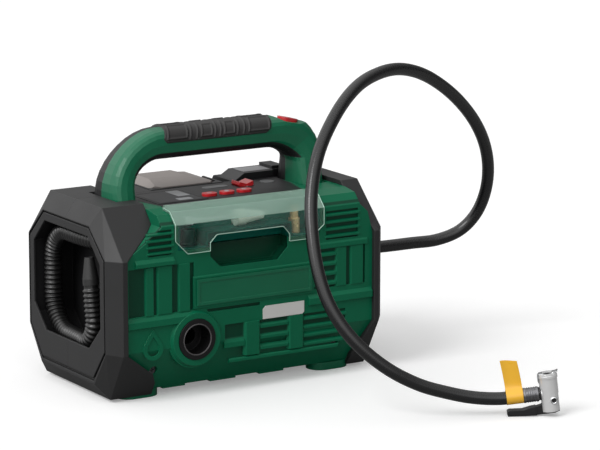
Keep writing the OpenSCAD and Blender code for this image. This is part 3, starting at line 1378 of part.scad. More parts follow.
module hose_grommet() {
    color(soft_black) difference() {
        union() {
            rod_x(outlet_wall_x - bay_wall - 3, outlet_wall_x + 6 - eps, 0, outlet_z, hose_d + 4);
            rod_x(outlet_wall_x + seam_gap, outlet_wall_x + 4, 0, outlet_z, hose_d + 9);
        }
        rod_x(outlet_wall_x - 20, outlet_wall_x - bay_wall + 1, 0, outlet_z, 8.1);
    }
}
module at_chuck(along) {
    translate(hose_end + end_dir * along) rotate([0, -chuck_pitch, chuck_yaw]) children();
}
module hose_ferrule() {
    color([0.30, 0.30, 0.31]) at_chuck(0) {
        rod_x(0, ferrule_l, 0, 0, ferrule_d - 1);
        for (i = [0 : 3]) rod_x(1 + i * ferrule_l / 4, 1 + i * ferrule_l / 4 + 2.4, 0, 0, ferrule_d);
    }
}
tag_l = 18;
valve_l = 14;
module hose_tag() {
    color([0.95, 0.70, 0.05]) at_chuck(-tag_l - 1) {
        difference() {
            union() {
                rod_x(0, tag_l, 0, 0, hose_d + 2);
                box(0, tag_l, -0.6, 0.6, 0, 34);
            }
            rod_x(-1, tag_l + 1, 0, 0, hose_d + 1);
        }
    }
}
collar_l = 2;
chuck_off = ferrule_l + collar_l + chuck_d / 2 - 1;
// heights of the chuck body, its pin and its lever against the hose's middle line
chuck_low = -16.6;
pin_x = 3;
pin_z = -5.8;
module chuck_body() {
    color(steel) at_chuck(chuck_off) difference() {
        union() {
            rod_z(chuck_low, chuck_low + chuck_h, 0, 0, chuck_d);
            rod_z(chuck_low + chuck_h - 4, chuck_low + chuck_h - 1.5, 0, 0, chuck_d + 1);
            rod_x(-chuck_d / 2 + 1 - collar_l, 0, 0, 0, 11);
        }
        rod_z(chuck_low + chuck_h - valve_l, chuck_low + chuck_h + 1, 0, 0, chuck_bore);
        // lever slot
        box(-chuck_d, chuck_d, -3.3, 3.3, chuck_low - 1, pin_z + 5.2);
        rod_y(-chuck_d, chuck_d, pin_x, pin_z, lever_pin_d);
    }
}
module chuck_pin() {
    color([0.5, 0.5, 0.5]) at_chuck(chuck_off) rod_y(-chuck_d / 2 - 0.2, chuck_d / 2 + 0.2, pin_x,
        pin_z, lever_pin_d);
}
module chuck_lever() {
    z = chuck_low;
    clear_x = -chuck_d / 2 - 5;
    color(soft_black) at_chuck(chuck_off) difference() {
        union() {
            rod_y(-3, 3, pin_x, pin_z, 9);
            along_y(-3, 3) polygon([[pin_x + 4.4, pin_z], [pin_x + 4.6, z - 1], [pin_x, z - 2.4],
                [clear_x - 2, z - 2.2],
                [clear_x - 2, z + 5], [-chuck_d / 2, z + 6.5], [pin_x - 3, pin_z + 3]]);
            along_y(-4.5, 4.5) polygon([[clear_x, z - 2.3], [-lever_l / 2 - 4, z - 1.6], [-lever_l, z],
                [-lever_l, z + 4.2],
                [-lever_l + 2, z + 5], [-lever_l + 14, z + 4], [clear_x - 6, z + 5.2], [clear_x,
                    z + 5.8]]);
        }
        rod_y(-10, 10, pin_x, pin_z, lever_pin_d + 2 * run_gap);
    }
}

front_shell();
rear_shell();
hose_bumper_front();
hose_bumper_rear();
outlet_bumper_front();
outlet_bumper_rear();
hose_bay();
outlet_bay();
handle_front();
handle_rear();
handle_grip();
handle_button();
control_panel();
display_lens();
minus_button();
unit_button();
plus_button();
mode_rocker();
rocker_pin();
panel_plate();
storage_tray();
storage_lid();
lid_hinge_pin();
cone_adapter();
ball_needle();
brass_adapter();
mattress_adapter();
ribbed_hose();
hose_cuff();
port_ring();
name_plate();
level_label();
rear_housing();
rear_badge();
battery_pack();
battery_latch();
battery_contacts();
case_screws();
feet();
circuit_board();
pump_motor();
motor_pinion();
crank_gear();
connecting_rod();
wrist_pin();
piston();
pump_cylinder();
pump_frame();
pressure_pipe();
blower_housing();
blower_impeller();
blower_motor();
hose_grommet();
pressure_hose();
hose_ferrule();
hose_tag();
chuck_body();
chuck_lever();
chuck_pin();
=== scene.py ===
"""Looks of the portable tyre inflator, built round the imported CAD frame.

+Z is up and the front looks towards -Y. Places and sizes are in mm unless a comment says otherwise,
and MM turns them into Blender's metres.
"""

import json
import math

import bpy
import numpy as np
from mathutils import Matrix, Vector


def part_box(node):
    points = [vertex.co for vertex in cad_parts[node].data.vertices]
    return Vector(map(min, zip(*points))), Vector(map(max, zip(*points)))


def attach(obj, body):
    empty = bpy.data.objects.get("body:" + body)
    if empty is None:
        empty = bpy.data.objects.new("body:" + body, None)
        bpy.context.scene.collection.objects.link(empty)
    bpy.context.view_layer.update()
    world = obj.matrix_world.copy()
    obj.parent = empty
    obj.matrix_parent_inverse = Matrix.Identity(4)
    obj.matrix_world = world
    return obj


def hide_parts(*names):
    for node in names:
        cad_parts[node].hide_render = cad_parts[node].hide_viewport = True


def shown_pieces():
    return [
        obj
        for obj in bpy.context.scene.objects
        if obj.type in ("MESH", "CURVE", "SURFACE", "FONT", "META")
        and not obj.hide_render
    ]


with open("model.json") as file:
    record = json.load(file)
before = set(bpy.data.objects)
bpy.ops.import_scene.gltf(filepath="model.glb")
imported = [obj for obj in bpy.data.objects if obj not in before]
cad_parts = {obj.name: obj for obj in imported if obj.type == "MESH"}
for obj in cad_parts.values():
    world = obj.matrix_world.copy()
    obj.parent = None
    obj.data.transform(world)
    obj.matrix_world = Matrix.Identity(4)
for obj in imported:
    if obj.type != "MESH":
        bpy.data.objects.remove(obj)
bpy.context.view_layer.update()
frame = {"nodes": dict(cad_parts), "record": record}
NODES = frame["nodes"]
scene = bpy.context.scene
MM = 0.001


# ---------------------------------------------------------------- camera
# angles in degrees, the rest in metres apart from the lens
CAMERA_AZIMUTH, CAMERA_ELEVATION, CAMERA_ROLL = -31.857, 11.772, 0.103
CAMERA_AIM = (0.10363, -0.004, 0.13116)
CAMERA_DISTANCE = 3.06557
CAMERA_LENS, CAMERA_SENSOR = 189.59, 36
CAMERA_NEAR, CAMERA_FAR = 0.05, 60


def make_camera():
    azimuth, elevation = math.radians(CAMERA_AZIMUTH), math.radians(CAMERA_ELEVATION)
    back = Vector((math.sin(azimuth) * math.cos(elevation),
                   -math.cos(azimuth) * math.cos(elevation), math.sin(elevation)))
    data = bpy.data.cameras.new("camera")
    data.lens = CAMERA_LENS
    data.sensor_width = CAMERA_SENSOR
    data.clip_start, data.clip_end = CAMERA_NEAR, CAMERA_FAR
    cam = bpy.data.objects.new("camera", data)
    cam.location = Vector(CAMERA_AIM) + back * CAMERA_DISTANCE
    cam.rotation_euler = (-back).to_track_quat("-Z", "Y").to_euler()
    cam.rotation_euler.rotate_axis("Z", math.radians(CAMERA_ROLL))
    scene.collection.objects.link(cam)
    scene.camera = cam


make_camera()


# ---------------------------------------------------------------- mesh helpers
LOOK_OF = {}


def piece(name, verts, faces, body, slot, smooth=True, stands_for=(), sharp=None, look=None):
    """A mesh object in the row frame that rides on a body and takes its finish from a record slot.
    With look, it has a finish of its own in place of the slot's."""
    LOOK_OF[name] = look or slot
    data = bpy.data.meshes.new(name)
    data.from_pydata([tuple(v) for v in verts], [], [tuple(f) for f in faces])
    data.validate()
    data.update()
    obj = bpy.data.objects.new(name, data)
    scene.collection.objects.link(obj)
    if smooth:
        data.shade_smooth()
        if sharp is not None:
            data.set_sharp_from_angle(angle=math.radians(sharp))
    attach(obj, body)
    if stands_for:
        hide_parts(*stands_for)
    return obj


def box_mm(node):
    """Lowest and highest corner of a CAD node, to a thousandth of a mm."""
    return [np.round(np.array(corner) / MM, 3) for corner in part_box(node)]


def unit(rows):
    """Rows scaled to length 1."""
    return rows / np.linalg.norm(rows, axis=-1, keepdims=True)


def line_normals(line):
    """Normals of a line drawn in a plane, to the left of its run."""
    t = unit(np.gradient(line, axis=0))
    return np.stack([-t[:, 1], t[:, 0]], axis=1)


# a direction that no path of this script starts in
ASKEW = (0.12, 1.0, 0.2)


def frames(path):
    """Points, tangents and turning-free side vectors along a path."""
    p = np.array(path, float)
    t = unit(np.gradient(p, axis=0))
    side = np.cross(t[0], ASKEW)
    sides = []
    for k in range(len(p)):
        side = unit(side - t[k] * np.dot(side, t[k]))
        sides.append(side)
    return p, t, np.array(sides)


def tube(path, radii, sides, inner=None):
    """Closed tube along a path. With inner, it is hollow, with that bore radius."""
    p, t, u = frames(path)
    w = np.cross(t, u)
    ang = 2 * np.pi * np.arange(sides) / sides

    def ring(k, r):
        return p[k] + r * (np.outer(np.cos(ang), u[k]) + np.outer(np.sin(ang), w[k]))

    rows = [ring(k, radii[k]) for k in range(len(p))]
    if inner is not None:
        rows += [ring(k, inner) for k in range(len(p) - 1, -1, -1)]
    verts = np.concatenate(rows)
    faces = []
    count = len(rows)
    for i in range(count if inner is not None else count - 1):
        j = (i + 1) % count
        for k in range(sides):
            m = (k + 1) % sides
            faces.append((i * sides + k, i * sides + m, j * sides + m, j * sides + k))
    if inner is None:
        faces.append(tuple(range(sides - 1, -1, -1)))
        faces.append(tuple((count - 1) * sides + k for k in range(sides)))
    return verts, faces


def sheet_faces(rows, cols):
    """Faces of a sheet of two layers of rows by cols points each, with a rim between the layers."""
    half = rows * cols
    faces = []
    for i in range(rows - 1):
        for k in range(cols - 1):
            a, b = i * cols + k, i * cols + k + 1
            c, d = b + cols, a + cols
            faces.append((a, d, c, b))
            faces.append((a + half, b + half, c + half, d + half))
    last = rows - 1
    rim = list(range(cols)) + [i * cols + cols - 1 for i in range(1, rows)]
    rim += [last * cols + k for k in range(cols - 2, -1, -1)] + [i * cols for i in range(last - 1, 0, -1)]
    for a, b in zip(rim, rim[1:] + rim[:1]):
        faces.append((a, b, b + half, a + half))
    return faces


def add_uv(obj, sides, lengths):
    """Tube coordinates for a pattern: across is the turn, along is metres."""
    layer = obj.data.uv_layers.new(name="along")
    for poly in obj.data.polygons:
        ids = list(poly.vertices)
        wrap = max(i % sides for i in ids) - min(i % sides for i in ids) > sides / 2
        for loop, v in zip(poly.loop_indices, ids):
            u = v % sides
            if wrap and u == 0:
                u = sides
            layer.data[loop].uv = (u / sides, lengths[min(v // sides, len(lengths) - 1)])


# ---------------------------------------------------------------- pressure hose
ROUTE = [(118, 0, 100), (140, 0, 100), (170, 0, 99), (203, 0, 98), (236, -1, 98), (264, -5, 99),
         (287, -11, 107), (301, -19, 124), (306, -28, 148), (301, -39, 176), (287, -50, 205),
         (264, -61, 233), (231, -74, 260), (192, -88, 282), (155, -101, 293), (121, -113, 293),
         (88, -126, 284), (57, -140, 263), (29, -155, 231), (11, -172, 193), (3, -190, 152),
         (3, -206, 118), (10, -220, 92), (24, -234, 69), (46, -247.5, 48), (72, -258.5, 32.5),
         (97, -267.8, 23.6), (119.5, -276.8, 18), (142.5, -286.8, 16), (160.6, -297.2, 18.6)]
ROUTE_STEPS = 8
HOSE_D = 12 * MM
HOSE_SIDES = 24


def hose_points(steps):
    """The same smooth curve through the route's points as the solid has, in metres."""
    p = np.array(ROUTE, float) * MM
    out = []
    for i in range(len(p) - 1):
        a, b, c, d = p[max(0, i - 1)], p[i], p[i + 1], p[min(len(p) - 1, i + 2)]
        for k in range(steps):
            t = k / steps
            out.append(0.5 * (2 * b + (c - a) * t + (2 * a - 5 * b + 4 * c - d) * t * t
                              + (3 * b - a - 3 * c + d) * t ** 3))
    out.append(p[-1])
    return np.array(out)


hose_path = hose_points(ROUTE_STEPS)
hose_run = np.concatenate([[0], np.cumsum(np.linalg.norm(np.diff(hose_path, axis=0), axis=1))])
verts, faces = tube(hose_path, [HOSE_D / 2] * len(hose_path), HOSE_SIDES)
hose = piece("pressure_hose_skin", verts, faces, "housing", "hose_rubber", stands_for=["pressure_hose"],
             sharp=60)
add_uv(hose, HOSE_SIDES, hose_run)


# ---------------------------------------------------------------- ribbed hose in its bay
# the loop's reach to the sides, and its lowest and highest runs
COIL_HALF_W, COIL_LOW, COIL_HIGH = 57.9, 47.5, 145.0
# where the cuff holds its start, and how many degrees the cuff leans
CUFF_Y, CUFF_Z, CUFF_LEAN = -28.0, 105.0, 7.0
# radii of its bends: below the cuff, at the far lower corner, and at both upper corners
CUFF_BEND, LOW_BEND, HIGH_BEND = 24.0, 34.0, 32.0
# length of its straight end behind the opening's edge
HIDDEN_END = 34.0
# the body's end along x, and how far inside it the hose starts
END_X, COIL_IN = -150.0, 11.2
# how much deeper into the bay it goes over its first share, and over its last share
START_SINK, START_SHARE, END_SINK, END_SHARE = 5.0, 0.4, 13.0, 0.34
# the ribs' spacing and radii, the bore's radius, and the plain stretch at either end
RIB_PITCH, RIB_ROOT, RIB_TOP, RIB_BORE, PLAIN_END = 4.6, 6.9, 8.5, 5.9, 3.0
RIB_STEP = RIB_PITCH / 8
RIB_FULLNESS = 0.8
RIB_SIDES = 32


def coil_legs():
    """Stretches of the ribbed hose's middle line: down from the cuff, then once round inside the opening.
    Each has its start's y and z, its heading in degrees, its length and its radius, 0 where straight."""
    lean = math.radians(CUFF_LEAN)
    quarter = math.pi / 2
    drop = (CUFF_Z - COIL_LOW - CUFF_BEND * (1 + math.sin(lean))) / math.cos(lean)
    bend_y, bend_z = CUFF_Y - drop * math.sin(lean), CUFF_Z - drop * math.cos(lean)
    low_y = bend_y + CUFF_BEND * math.cos(lean)
    low_end = COIL_HALF_W - LOW_BEND
    return [(CUFF_Y, CUFF_Z, -90 - CUFF_LEAN, drop, 0),
            (bend_y, bend_z, -90 - CUFF_LEAN, CUFF_BEND * (quarter + lean), CUFF_BEND),
            (low_y, COIL_LOW, 0, low_end - low_y, 0),
            (low_end, COIL_LOW, 0, LOW_BEND * quarter, LOW_BEND),
            (COIL_HALF_W, COIL_LOW + LOW_BEND, 90, COIL_HIGH - COIL_LOW - LOW_BEND - HIGH_BEND, 0),
            (COIL_HALF_W, COIL_HIGH - HIGH_BEND, 90, HIGH_BEND * quarter, HIGH_BEND),
            (COIL_HALF_W - HIGH_BEND, COIL_HIGH, 180, 2 * (COIL_HALF_W - HIGH_BEND), 0),
            (HIGH_BEND - COIL_HALF_W, COIL_HIGH, 180, HIGH_BEND * quarter, HIGH_BEND),
            (-COIL_HALF_W, COIL_HIGH - HIGH_BEND, 270, HIDDEN_END, 0)]


def ease(t):
    """A smooth rise from 0 to 1 while t goes from 0 to 1."""
    return (1 - math.cos(math.pi * min(1.0, max(0.0, t)))) / 2


def coil_points(step):
    """Points of the ribbed hose's middle line, in metres, and its length in mm."""
    legs = coil_legs()
    total = sum(leg[3] for leg in legs)
    count = int(total / step)
    out = []
    for n in range(count + 1):
        s = total * n / count
        i, before = 0, 0.0
        while i < len(legs) - 1 and s >= before + legs[i][3]:
            before += legs[i][3]
            i += 1
        y, z, heading, _, r = legs[i]
        d = s - before
        share = s / total
        x = END_X + COIL_IN + START_SINK * ease(share / START_SHARE)
        x += END_SINK * ease((share - 1 + END_SHARE) / END_SHARE)
        a = math.radians(heading)
        if r == 0:
            out.append((x, y + d * math.cos(a), z + d * math.sin(a)))
        else:
            b = a + d / r
            out.append((x, y + r * (math.sin(b) - math.sin(a)), z - r * (math.cos(b) - math.cos(a))))
    return np.array(out) * MM, total


def ribbed_hose():
    path, total = coil_points(RIB_STEP)
    run = np.linspace(0, total, len(path))
    ribbed_end = PLAIN_END + math.floor((total - 2 * PLAIN_END) / RIB_PITCH) * RIB_PITCH
    radii = []
    for s in run:
        rise = 0.0
        if PLAIN_END <= s <= ribbed_end:
            rise = (0.5 - 0.5 * math.cos(2 * math.pi * (s - PLAIN_END) / RIB_PITCH)) ** RIB_FULLNESS
        radii.append((RIB_ROOT + (RIB_TOP - RIB_ROOT) * rise) * MM)
    v, f = tube(path, radii, RIB_SIDES, inner=RIB_BORE * MM)
    return piece("ribbed_hose_skin", v, f, "housing", "ribbed_plastic", stands_for=["ribbed_hose"])


ribbed_hose()


# ---------------------------------------------------------------- turned pieces
TURNED_SHARP = 35


def place(points, at, along):
    """Points given as (along, sideways, up), set at a point of the row frame, in metres."""
    a = unit(np.array(along, float))
    up = (0, 0, 1)
    if abs(np.dot(a, up)) > 0.99:
        up = (1, 0, 0)
    u = unit(np.array(up, float) - a * np.dot(a, up))
    side = np.cross(u, a)
    p = np.array(points, float)
    return (np.array(at) + p[:, 0:1] * a + p[:, 1:2] * side + p[:, 2:3] * u) * MM


def turned(name, profile, at, along, body, slot, sides=48, stands_for=(), look=None):
    """Closed ring or body turned round an axis; the profile is a closed outline of (along, radius)."""
    pts, faces = [], []
    n = len(profile)
    for k in range(sides):
        a = 2 * math.pi * k / sides
        pts += [(x, r * math.cos(a), r * math.sin(a)) for x, r in profile]
    for k in range(sides):
        m = (k + 1) % sides
        for i in range(n):
            j = (i + 1) % n
            if profile[i][1] == 0 and profile[j][1] == 0:
                continue
            faces.append((k * n + i, k * n + j, m * n + j, m * n + i))
    return piece(name, place(pts, at, along), faces, body, slot, stands_for=stands_for, sharp=TURNED_SHARP,
                 look=look)


def hose_boot():
    """Tapered boot with rings, which keeps the pressure hose from kinking where it leaves the housing."""
    rings, pitch, taper = 5, 4.6, 0.5
    collar_in = 6.0
    profile = [(-5.4, 6.03), (-5.4, 8.0), (0.1, 8.0), (0.1, 10.4), (1.0, 10.9), (3.2, 10.9), (4.0, 10.2),
               (5.0, 9.6)]
    for i in range(rings):
        x, r = 6.0 + pitch * i, 9.3 - taper * i
        profile += [(x, r), (x + 2.6, r - 0.25), (x + 3.0, r - 1.3), (x + 4.2, r - 1.45)]
    profile += [(29.4, 6.9), (30.4, 6.6), (30.4, 6.03)]
    x, y, z = ROUTE[0]
    turned("hose_boot", profile, (x - collar_in, y, z), (1, 0, 0), "housing", "hose_rubber",
           stands_for=["hose_grommet"])


def port_rim():
    """Bright rim inside the air port."""
    port_x, port_z = -61, 56
    sunk = 0.05
    profile = [(0.0, 13.95), (-0.35, 14.1), (-0.45, 14.5), (-0.35, 14.95), (0.0, 15.1), (0.4, 15.1),
               (0.4, 13.95)]
    face = box_mm("port_ring")[0][1]
    turned("port_rim", profile, (port_x, face + sunk, port_z), (0, 1, 0), "housing", "grey_plastic",
           sides=96, look="port_rim")


hose_boot()
port_rim()


# ---------------------------------------------------------------- soft grip with four pads
# the pads and the thin bands between them along x, before the slant
PADS = [(-56.5, -34.0), (-20.0, -7.0), (5.0, 17.5), (32.0, 56.0)]
BANDS = [-30.8, -23.6, -4.0, 1.8, 20.6, 27.6]
# lean along x of the pads and bands, and of the ends, over SLANT_RUN from either long edge
PAD_SLANT, GRIP_SLANT, SLANT_RUN, PAD_SHIFT = 7.5, 7.0, 24.0, -0.5
# half the length, and how many degrees it reaches to either side of the handle's top
GRIP_HALF_L, GRIP_REACH = 58.5, 88.0
GRIP_ROWS, GRIP_STEPS = 235, 96
# how deep its under layer and the edge of its outer layer lie in the handle
GRIP_UNDER, GRIP_SUNK = 0.5, 0.25
# how much its corners are cut off, how softly, and the run over which its edge rises
GRIP_CORNER, GRIP_SOFT, GRIP_ROUND = 4.5, 1.4, 0.9
# the handle's section: half its depth, half its height and how square it is
BEAM_HALF_D, BEAM_HALF_T, BEAM_POWER = 18, 14.5, 3.2
BEAM_Y = (box_mm("handle_grip")[0][1] + box_mm("handle_grip")[1][1]) / 2
BEAM_Z = box_mm("handle_front")[1][2] - BEAM_HALF_T


def slanted(amount, flat):
    """How far a place leans along x at an arc distance from its nearer long edge."""
    return amount * min(1.0, flat / SLANT_RUN)


def grip_height(x, flat):
    """Height of the grip over the handle at x and at an arc distance from its nearer long edge."""
    base = 0.75
    pad_from, wide, wide_reach, short_reach = 2.6, 15, 21.5, 17.0
    pad_rise, pad_run, dish, dish_from = 0.7, 0.8, 0.35, 1.6
    rim_rise, rim_at, rim_w = 0.6, 1.0, 0.6
    band_rise, band_half = 0.45, 1.5
    xs = x - slanted(PAD_SLANT, flat)
    for lo, hi in PADS:
        reach = wide_reach if hi - lo > wide else short_reach
        d = min(xs - lo, hi - xs, flat - pad_from, reach - flat)
        if d > 0:
            rim = rim_rise * math.exp(-((d - rim_at) / rim_w) ** 2)
            return base + pad_rise * min(1.0, d / pad_run) - dish * min(1.0, max(0.0, d - dish_from)) + rim
    for band in BANDS:
        w = abs(xs - band)
        if w < band_half and flat > band_half:
            return base + band_rise * (1 + math.cos(math.pi * w / band_half))
    return base


def beam_arc():
    """The handle's section under the grip, from edge to edge in even steps, and the steps' arc places."""
    arc = []
    for k in range(GRIP_STEPS + 1):
        a = math.radians(-GRIP_REACH + 2 * GRIP_REACH * k / GRIP_STEPS)
        y, z = [math.copysign(abs(v) ** (2 / BEAM_POWER), v) for v in (math.sin(a), math.cos(a))]
        arc.append((BEAM_HALF_D * y, BEAM_HALF_T * z))
    arc = np.array(arc)
    run = np.concatenate([[0], np.cumsum(np.linalg.norm(np.diff(arc, axis=0), axis=1))])
    even = np.linspace(0, run[-1], GRIP_STEPS + 1)
    return np.stack([np.interp(even, run, arc[:, i]) for i in (0, 1)], axis=1), even


def build_grip():
    arc, even = beam_arc()
    normal = line_normals(arc)
    outer, under = [], []
    for x in np.linspace(-GRIP_HALF_L, GRIP_HALF_L, GRIP_ROWS):
        to_end = min(x + GRIP_HALF_L, GRIP_HALF_L - x)
        for k, q in enumerate(even):
            flat = min(q, even[-1] - q)
            px = x + slanted(GRIP_SLANT, flat)
            edge = min(to_end, flat + 0.01, (to_end + flat - GRIP_CORNER) / GRIP_SOFT)
            rise = min(1.0, max(0.0, edge) / GRIP_ROUND)
            full = grip_height(px + PAD_SHIFT, flat) + GRIP_SUNK
            h = full * math.sin(rise * math.pi / 2) - GRIP_SUNK
            for layer, lift in ((outer, h), (under, -GRIP_UNDER)):
                y, z = arc[k] + normal[k] * lift
                layer.append((px, BEAM_Y + y, BEAM_Z + z))
    verts = np.array(outer + under) * MM
    piece("grip_pads", verts, sheet_faces(GRIP_ROWS, len(even)), "housing", "grip_rubber",
          stands_for=["handle_grip"], sharp=50)


build_grip()


# ---------------------------------------------------------------- display fields and key marks
def rounded(w, d, r):
    """Outline of a plate with rounded corners, round its own middle."""
    steps = 5
    x, y = w / 2 - r, d / 2 - r
    out = []
    for cx, cy, a0 in ((x, y, 0), (-x, y, 90), (-x, -y, 180), (x, -y, 270)):
        for k in range(steps + 1):
            a = math.radians(a0 + 90 * k / steps)
            out.append((cx + r * math.cos(a), cy + r * math.sin(a)))
    return out


def cross(half_w, half_x, half_y):
    """Outline of an upright cross round its own middle."""
    return [(-half_w, -half_y), (half_w, -half_y), (half_w, -half_w), (half_x, -half_w), (half_x, half_w),
            (half_w, half_w), (half_w, half_y), (-half_w, half_y), (-half_w, half_w), (-half_x, half_w),
            (-half_x, -half_w), (-half_w, -half_w)]


def slabs(name, outlines, z0, z1, body, slot, inset=0.15, look=None):
    """Flat plates with a small bevel, lying on a level face."""
    verts, faces = [], []
    for pts in outlines:
        n, o = len(pts), len(verts)
        cx, cy = sum(p[0] for p in pts) / n, sum(p[1] for p in pts) / n
        for z, k in ((z0, 0), (z1 - inset, 0), (z1, inset)):
            for x, y in pts:
                reach = math.hypot(x - cx, y - cy)
                verts.append(((x - (x - cx) / reach * k) * MM, (y - (y - cy) / reach * k) * MM, z * MM))
        for j in (0, 1):
            for i in range(n):
                m = (i + 1) % n
                faces.append((o + j * n + i, o + j * n + m, o + (j + 1) * n + m, o + (j + 1) * n + i))
        faces.append(tuple(o + i for i in range(n - 1, -1, -1)))
        faces.append(tuple(o + 2 * n + i for i in range(n)))
    return piece(name, verts, faces, body, slot, smooth=False, look=look)


def shifted(pts, x, y):
    return [(px + x, py + y) for px, py in pts]


def top_face(node):
    """Middle and height of a node's top face."""
    lo, hi = box_mm(node)
    return (lo[0] + hi[0]) / 2, (lo[1] + hi[1]) / 2, hi[2]


def display_fields():
    """Two bare fields on the display window."""
    sunk, proud, corner = 0.05, 0.12, 1.0
    x, y, top = top_face("display_lens")
    tall = shifted(rounded(13, 26, corner), x + 14, y + 9)
    low = shifted(rounded(15, 9, corner), x + 7, y - 16.5)
    slabs("display_fields", [tall, low], top - sunk, top + proud, "housing", "pale_label", inset=0.05,
          look="display_field")


def key_marks():
    """Bar, ring and cross in pale grey, raised on the keys."""
    sunk, proud = 0.1, 0.35
    for name, node, body, outline in (("mark_minus", "minus_button", "minus_key", rounded(5.2, 1.1, 0.4)),
                                      ("mark_plus", "plus_button", "plus_key", cross(0.55, 2.6, 2.5))):
        x, y, top = top_face(node)
        slabs(name, [shifted(outline, x, y)], top - sunk, top + proud, body, "pale_label", look="key_mark")
    ring = [(-sunk, 1.5), (-sunk, 2.5), (proud, 2.4), (proud, 1.6)]
    turned("mark_unit", ring, top_face("unit_button"), (0, 0, 1), "unit_key", "pale_label", sides=40,
           look="key_mark")


display_fields()
key_marks()


# ---------------------------------------------------------------- chuck, ferrule and tag
# the hose's end heads off at YAW and rises by PITCH, and the chuck leans with it
YAW, PITCH = math.radians(-30), math.radians(7)
HOSE_END = np.array(ROUTE[-1])
HOSE_AXIS = np.array((math.cos(PITCH) * math.cos(YAW), math.cos(PITCH) * math.sin(YAW), math.sin(PITCH)))
CHUCK_SIDE = np.array((-math.sin(YAW), math.cos(YAW), 0.0))
CHUCK_UP = np.cross(HOSE_AXIS, CHUCK_SIDE)
# the chuck's middle is this far along from the hose's end
CHUCK_ALONG = 24.0
# from that middle: the lever's pin and the reach of its ends to either side, and the bore's mouth
PIN_ALONG, PIN_UP, PIN_REACH = 3, -5.8, 7.85
SEAL_UP = 17.6
# width and thickness of the clip's sheet
CLIP_W, CLIP_T = 7.0, 0.6


def at_chuck(points, along=CHUCK_ALONG):
    """Points in metres, given as (along the hose, sideways to the rear, up) from past the hose's end."""
    p = np.array(points, float)
    base = HOSE_END + HOSE_AXIS * along
    return (base + p[:, 0:1] * HOSE_AXIS + p[:, 1:2] * CHUCK_SIDE + p[:, 2:3] * CHUCK_UP) * MM


def rivet(name, sign):
    """Domed rivet head on one end of the lever's pin."""
    profile = [(0.0, 2.05), (1.05, 2.05), (1.35, 2.3), (1.45, 2.8), (1.1, 3.3), (0.0, 3.45)]
    start = at_chuck([(PIN_ALONG, sign * PIN_REACH, PIN_UP)])[0] / MM
    return turned(name, profile, start, CHUCK_SIDE * sign, "housing", "chrome", sides=40)


def chuck_seal():
    """Rubber seal in the chuck's bore."""
    profile = [(0.0, 2.9), (0.0, 3.98), (-3.0, 3.98), (-3.0, 2.9)]
    start = HOSE_END + HOSE_AXIS * CHUCK_ALONG + CHUCK_UP * SEAL_UP
    return turned("chuck_seal", profile, start, CHUCK_UP, "housing", "hose_rubber", sides=40)


def clip(name, profile):
    """Bent strip of sheet over the chuck's top: a profile in (along the hose, up), swept sideways."""
    p = np.array(profile, float)
    nrm = line_normals(p)
    loop = np.concatenate([p + nrm * CLIP_T / 2, (p - nrm * CLIP_T / 2)[::-1]])
    n = len(loop)
    pts = [(x, s * CLIP_W / 2, z) for s in (-1, 1) for x, z in loop]
    faces = [(i, (i + 1) % n, n + (i + 1) % n, n + i) for i in range(n)]
    for i in range(n // 2 - 1):
        faces.append((i + 1, i, n - 1 - i, n - 2 - i))
        faces.append((n + i, n + i + 1, 2 * n - 2 - i, 2 * n - 1 - i))
    return piece(name, at_chuck(pts), faces, "housing", "chrome", sharp=40)


def ferrule_sleeve():
    """Crimped ferrule with a ribbed sleeve."""
    crimps, pitch = 5, 2.1
    profile = [(0.05, 6.5), (0.6, 6.95), (1.6, 7.0)]
    for i in range(crimps):
        x = pitch * i
        profile += [(2.2 + x, 6.98), (2.6 + x, 6.55), (3.3 + x, 6.55), (3.7 + x, 6.98)]
    profile += [(13.2, 7.0), (13.9, 6.8), (14.45, 6.0), (14.45, 5.0), (0.05, 5.0)]
    return turned("ferrule_sleeve", profile, HOSE_END, HOSE_AXIS, "housing", "steel", sides=64,
                  stands_for=["hose_ferrule"], look="ferrule_grey")


def neck_seal():
    """Dark seal ring between the ferrule and the chuck's neck."""
    profile = [(14.6, 5.52), (14.6, 5.9), (14.9, 6.1), (16.0, 6.1), (16.3, 5.9), (16.3, 5.52)]
    return turned("neck_seal", profile, HOSE_END, HOSE_AXIS, "housing", "hose_rubber", sides=48)


def build_tag():
    """Film folded round the hose, its two leaves lying together and leaning a little."""
    width, top, wrap_r, half_t = 15.5, 34.0, 6.6, 0.14
    wrap_from, wrap, wrap_steps = 118, 304, 24
    cols = 13
    loose_from = 7.0
    sway, curl, lift_up = 2.2, 1.6, 0.9
    leaf = [(-0.35, top), (-0.32, 28), (-0.3, 22), (-0.3, 15), (-0.32, 10), (-1.0, 8.0), (-2.6, wrap_r)]
    turn = [math.radians(wrap_from + wrap * k / wrap_steps) for k in range(wrap_steps + 1)]
    p = np.array(leaf + [(wrap_r * math.cos(a), wrap_r * math.sin(a)) for a in turn]
                 + [(-y, z) for y, z in reversed(leaf)])
    nrm = line_normals(p)
    pts = []
    for layer in (half_t, -half_t):
        for y, z in p + nrm * layer:
            lift = max(0.0, z - loose_from) / (top - loose_from)
            for k in range(cols):
                u = k / (cols - 1)
                back = sway * lift ** 1.5 * (1 + 0.25 * math.sin(3.0 * u))
                pts.append((width * (u - 1) - back, y + curl * lift * math.cos(math.pi * (u - 0.35)),
                            z + lift_up * lift * math.cos(2.5 * u)))
    faces = [(f[0], *f[:0:-1]) for f in sheet_faces(len(p), cols)]
    return piece("tag_film", at_chuck(pts, 0.0), faces, "housing", "tag_yellow", stands_for=["hose_tag"],
                 sharp=50)


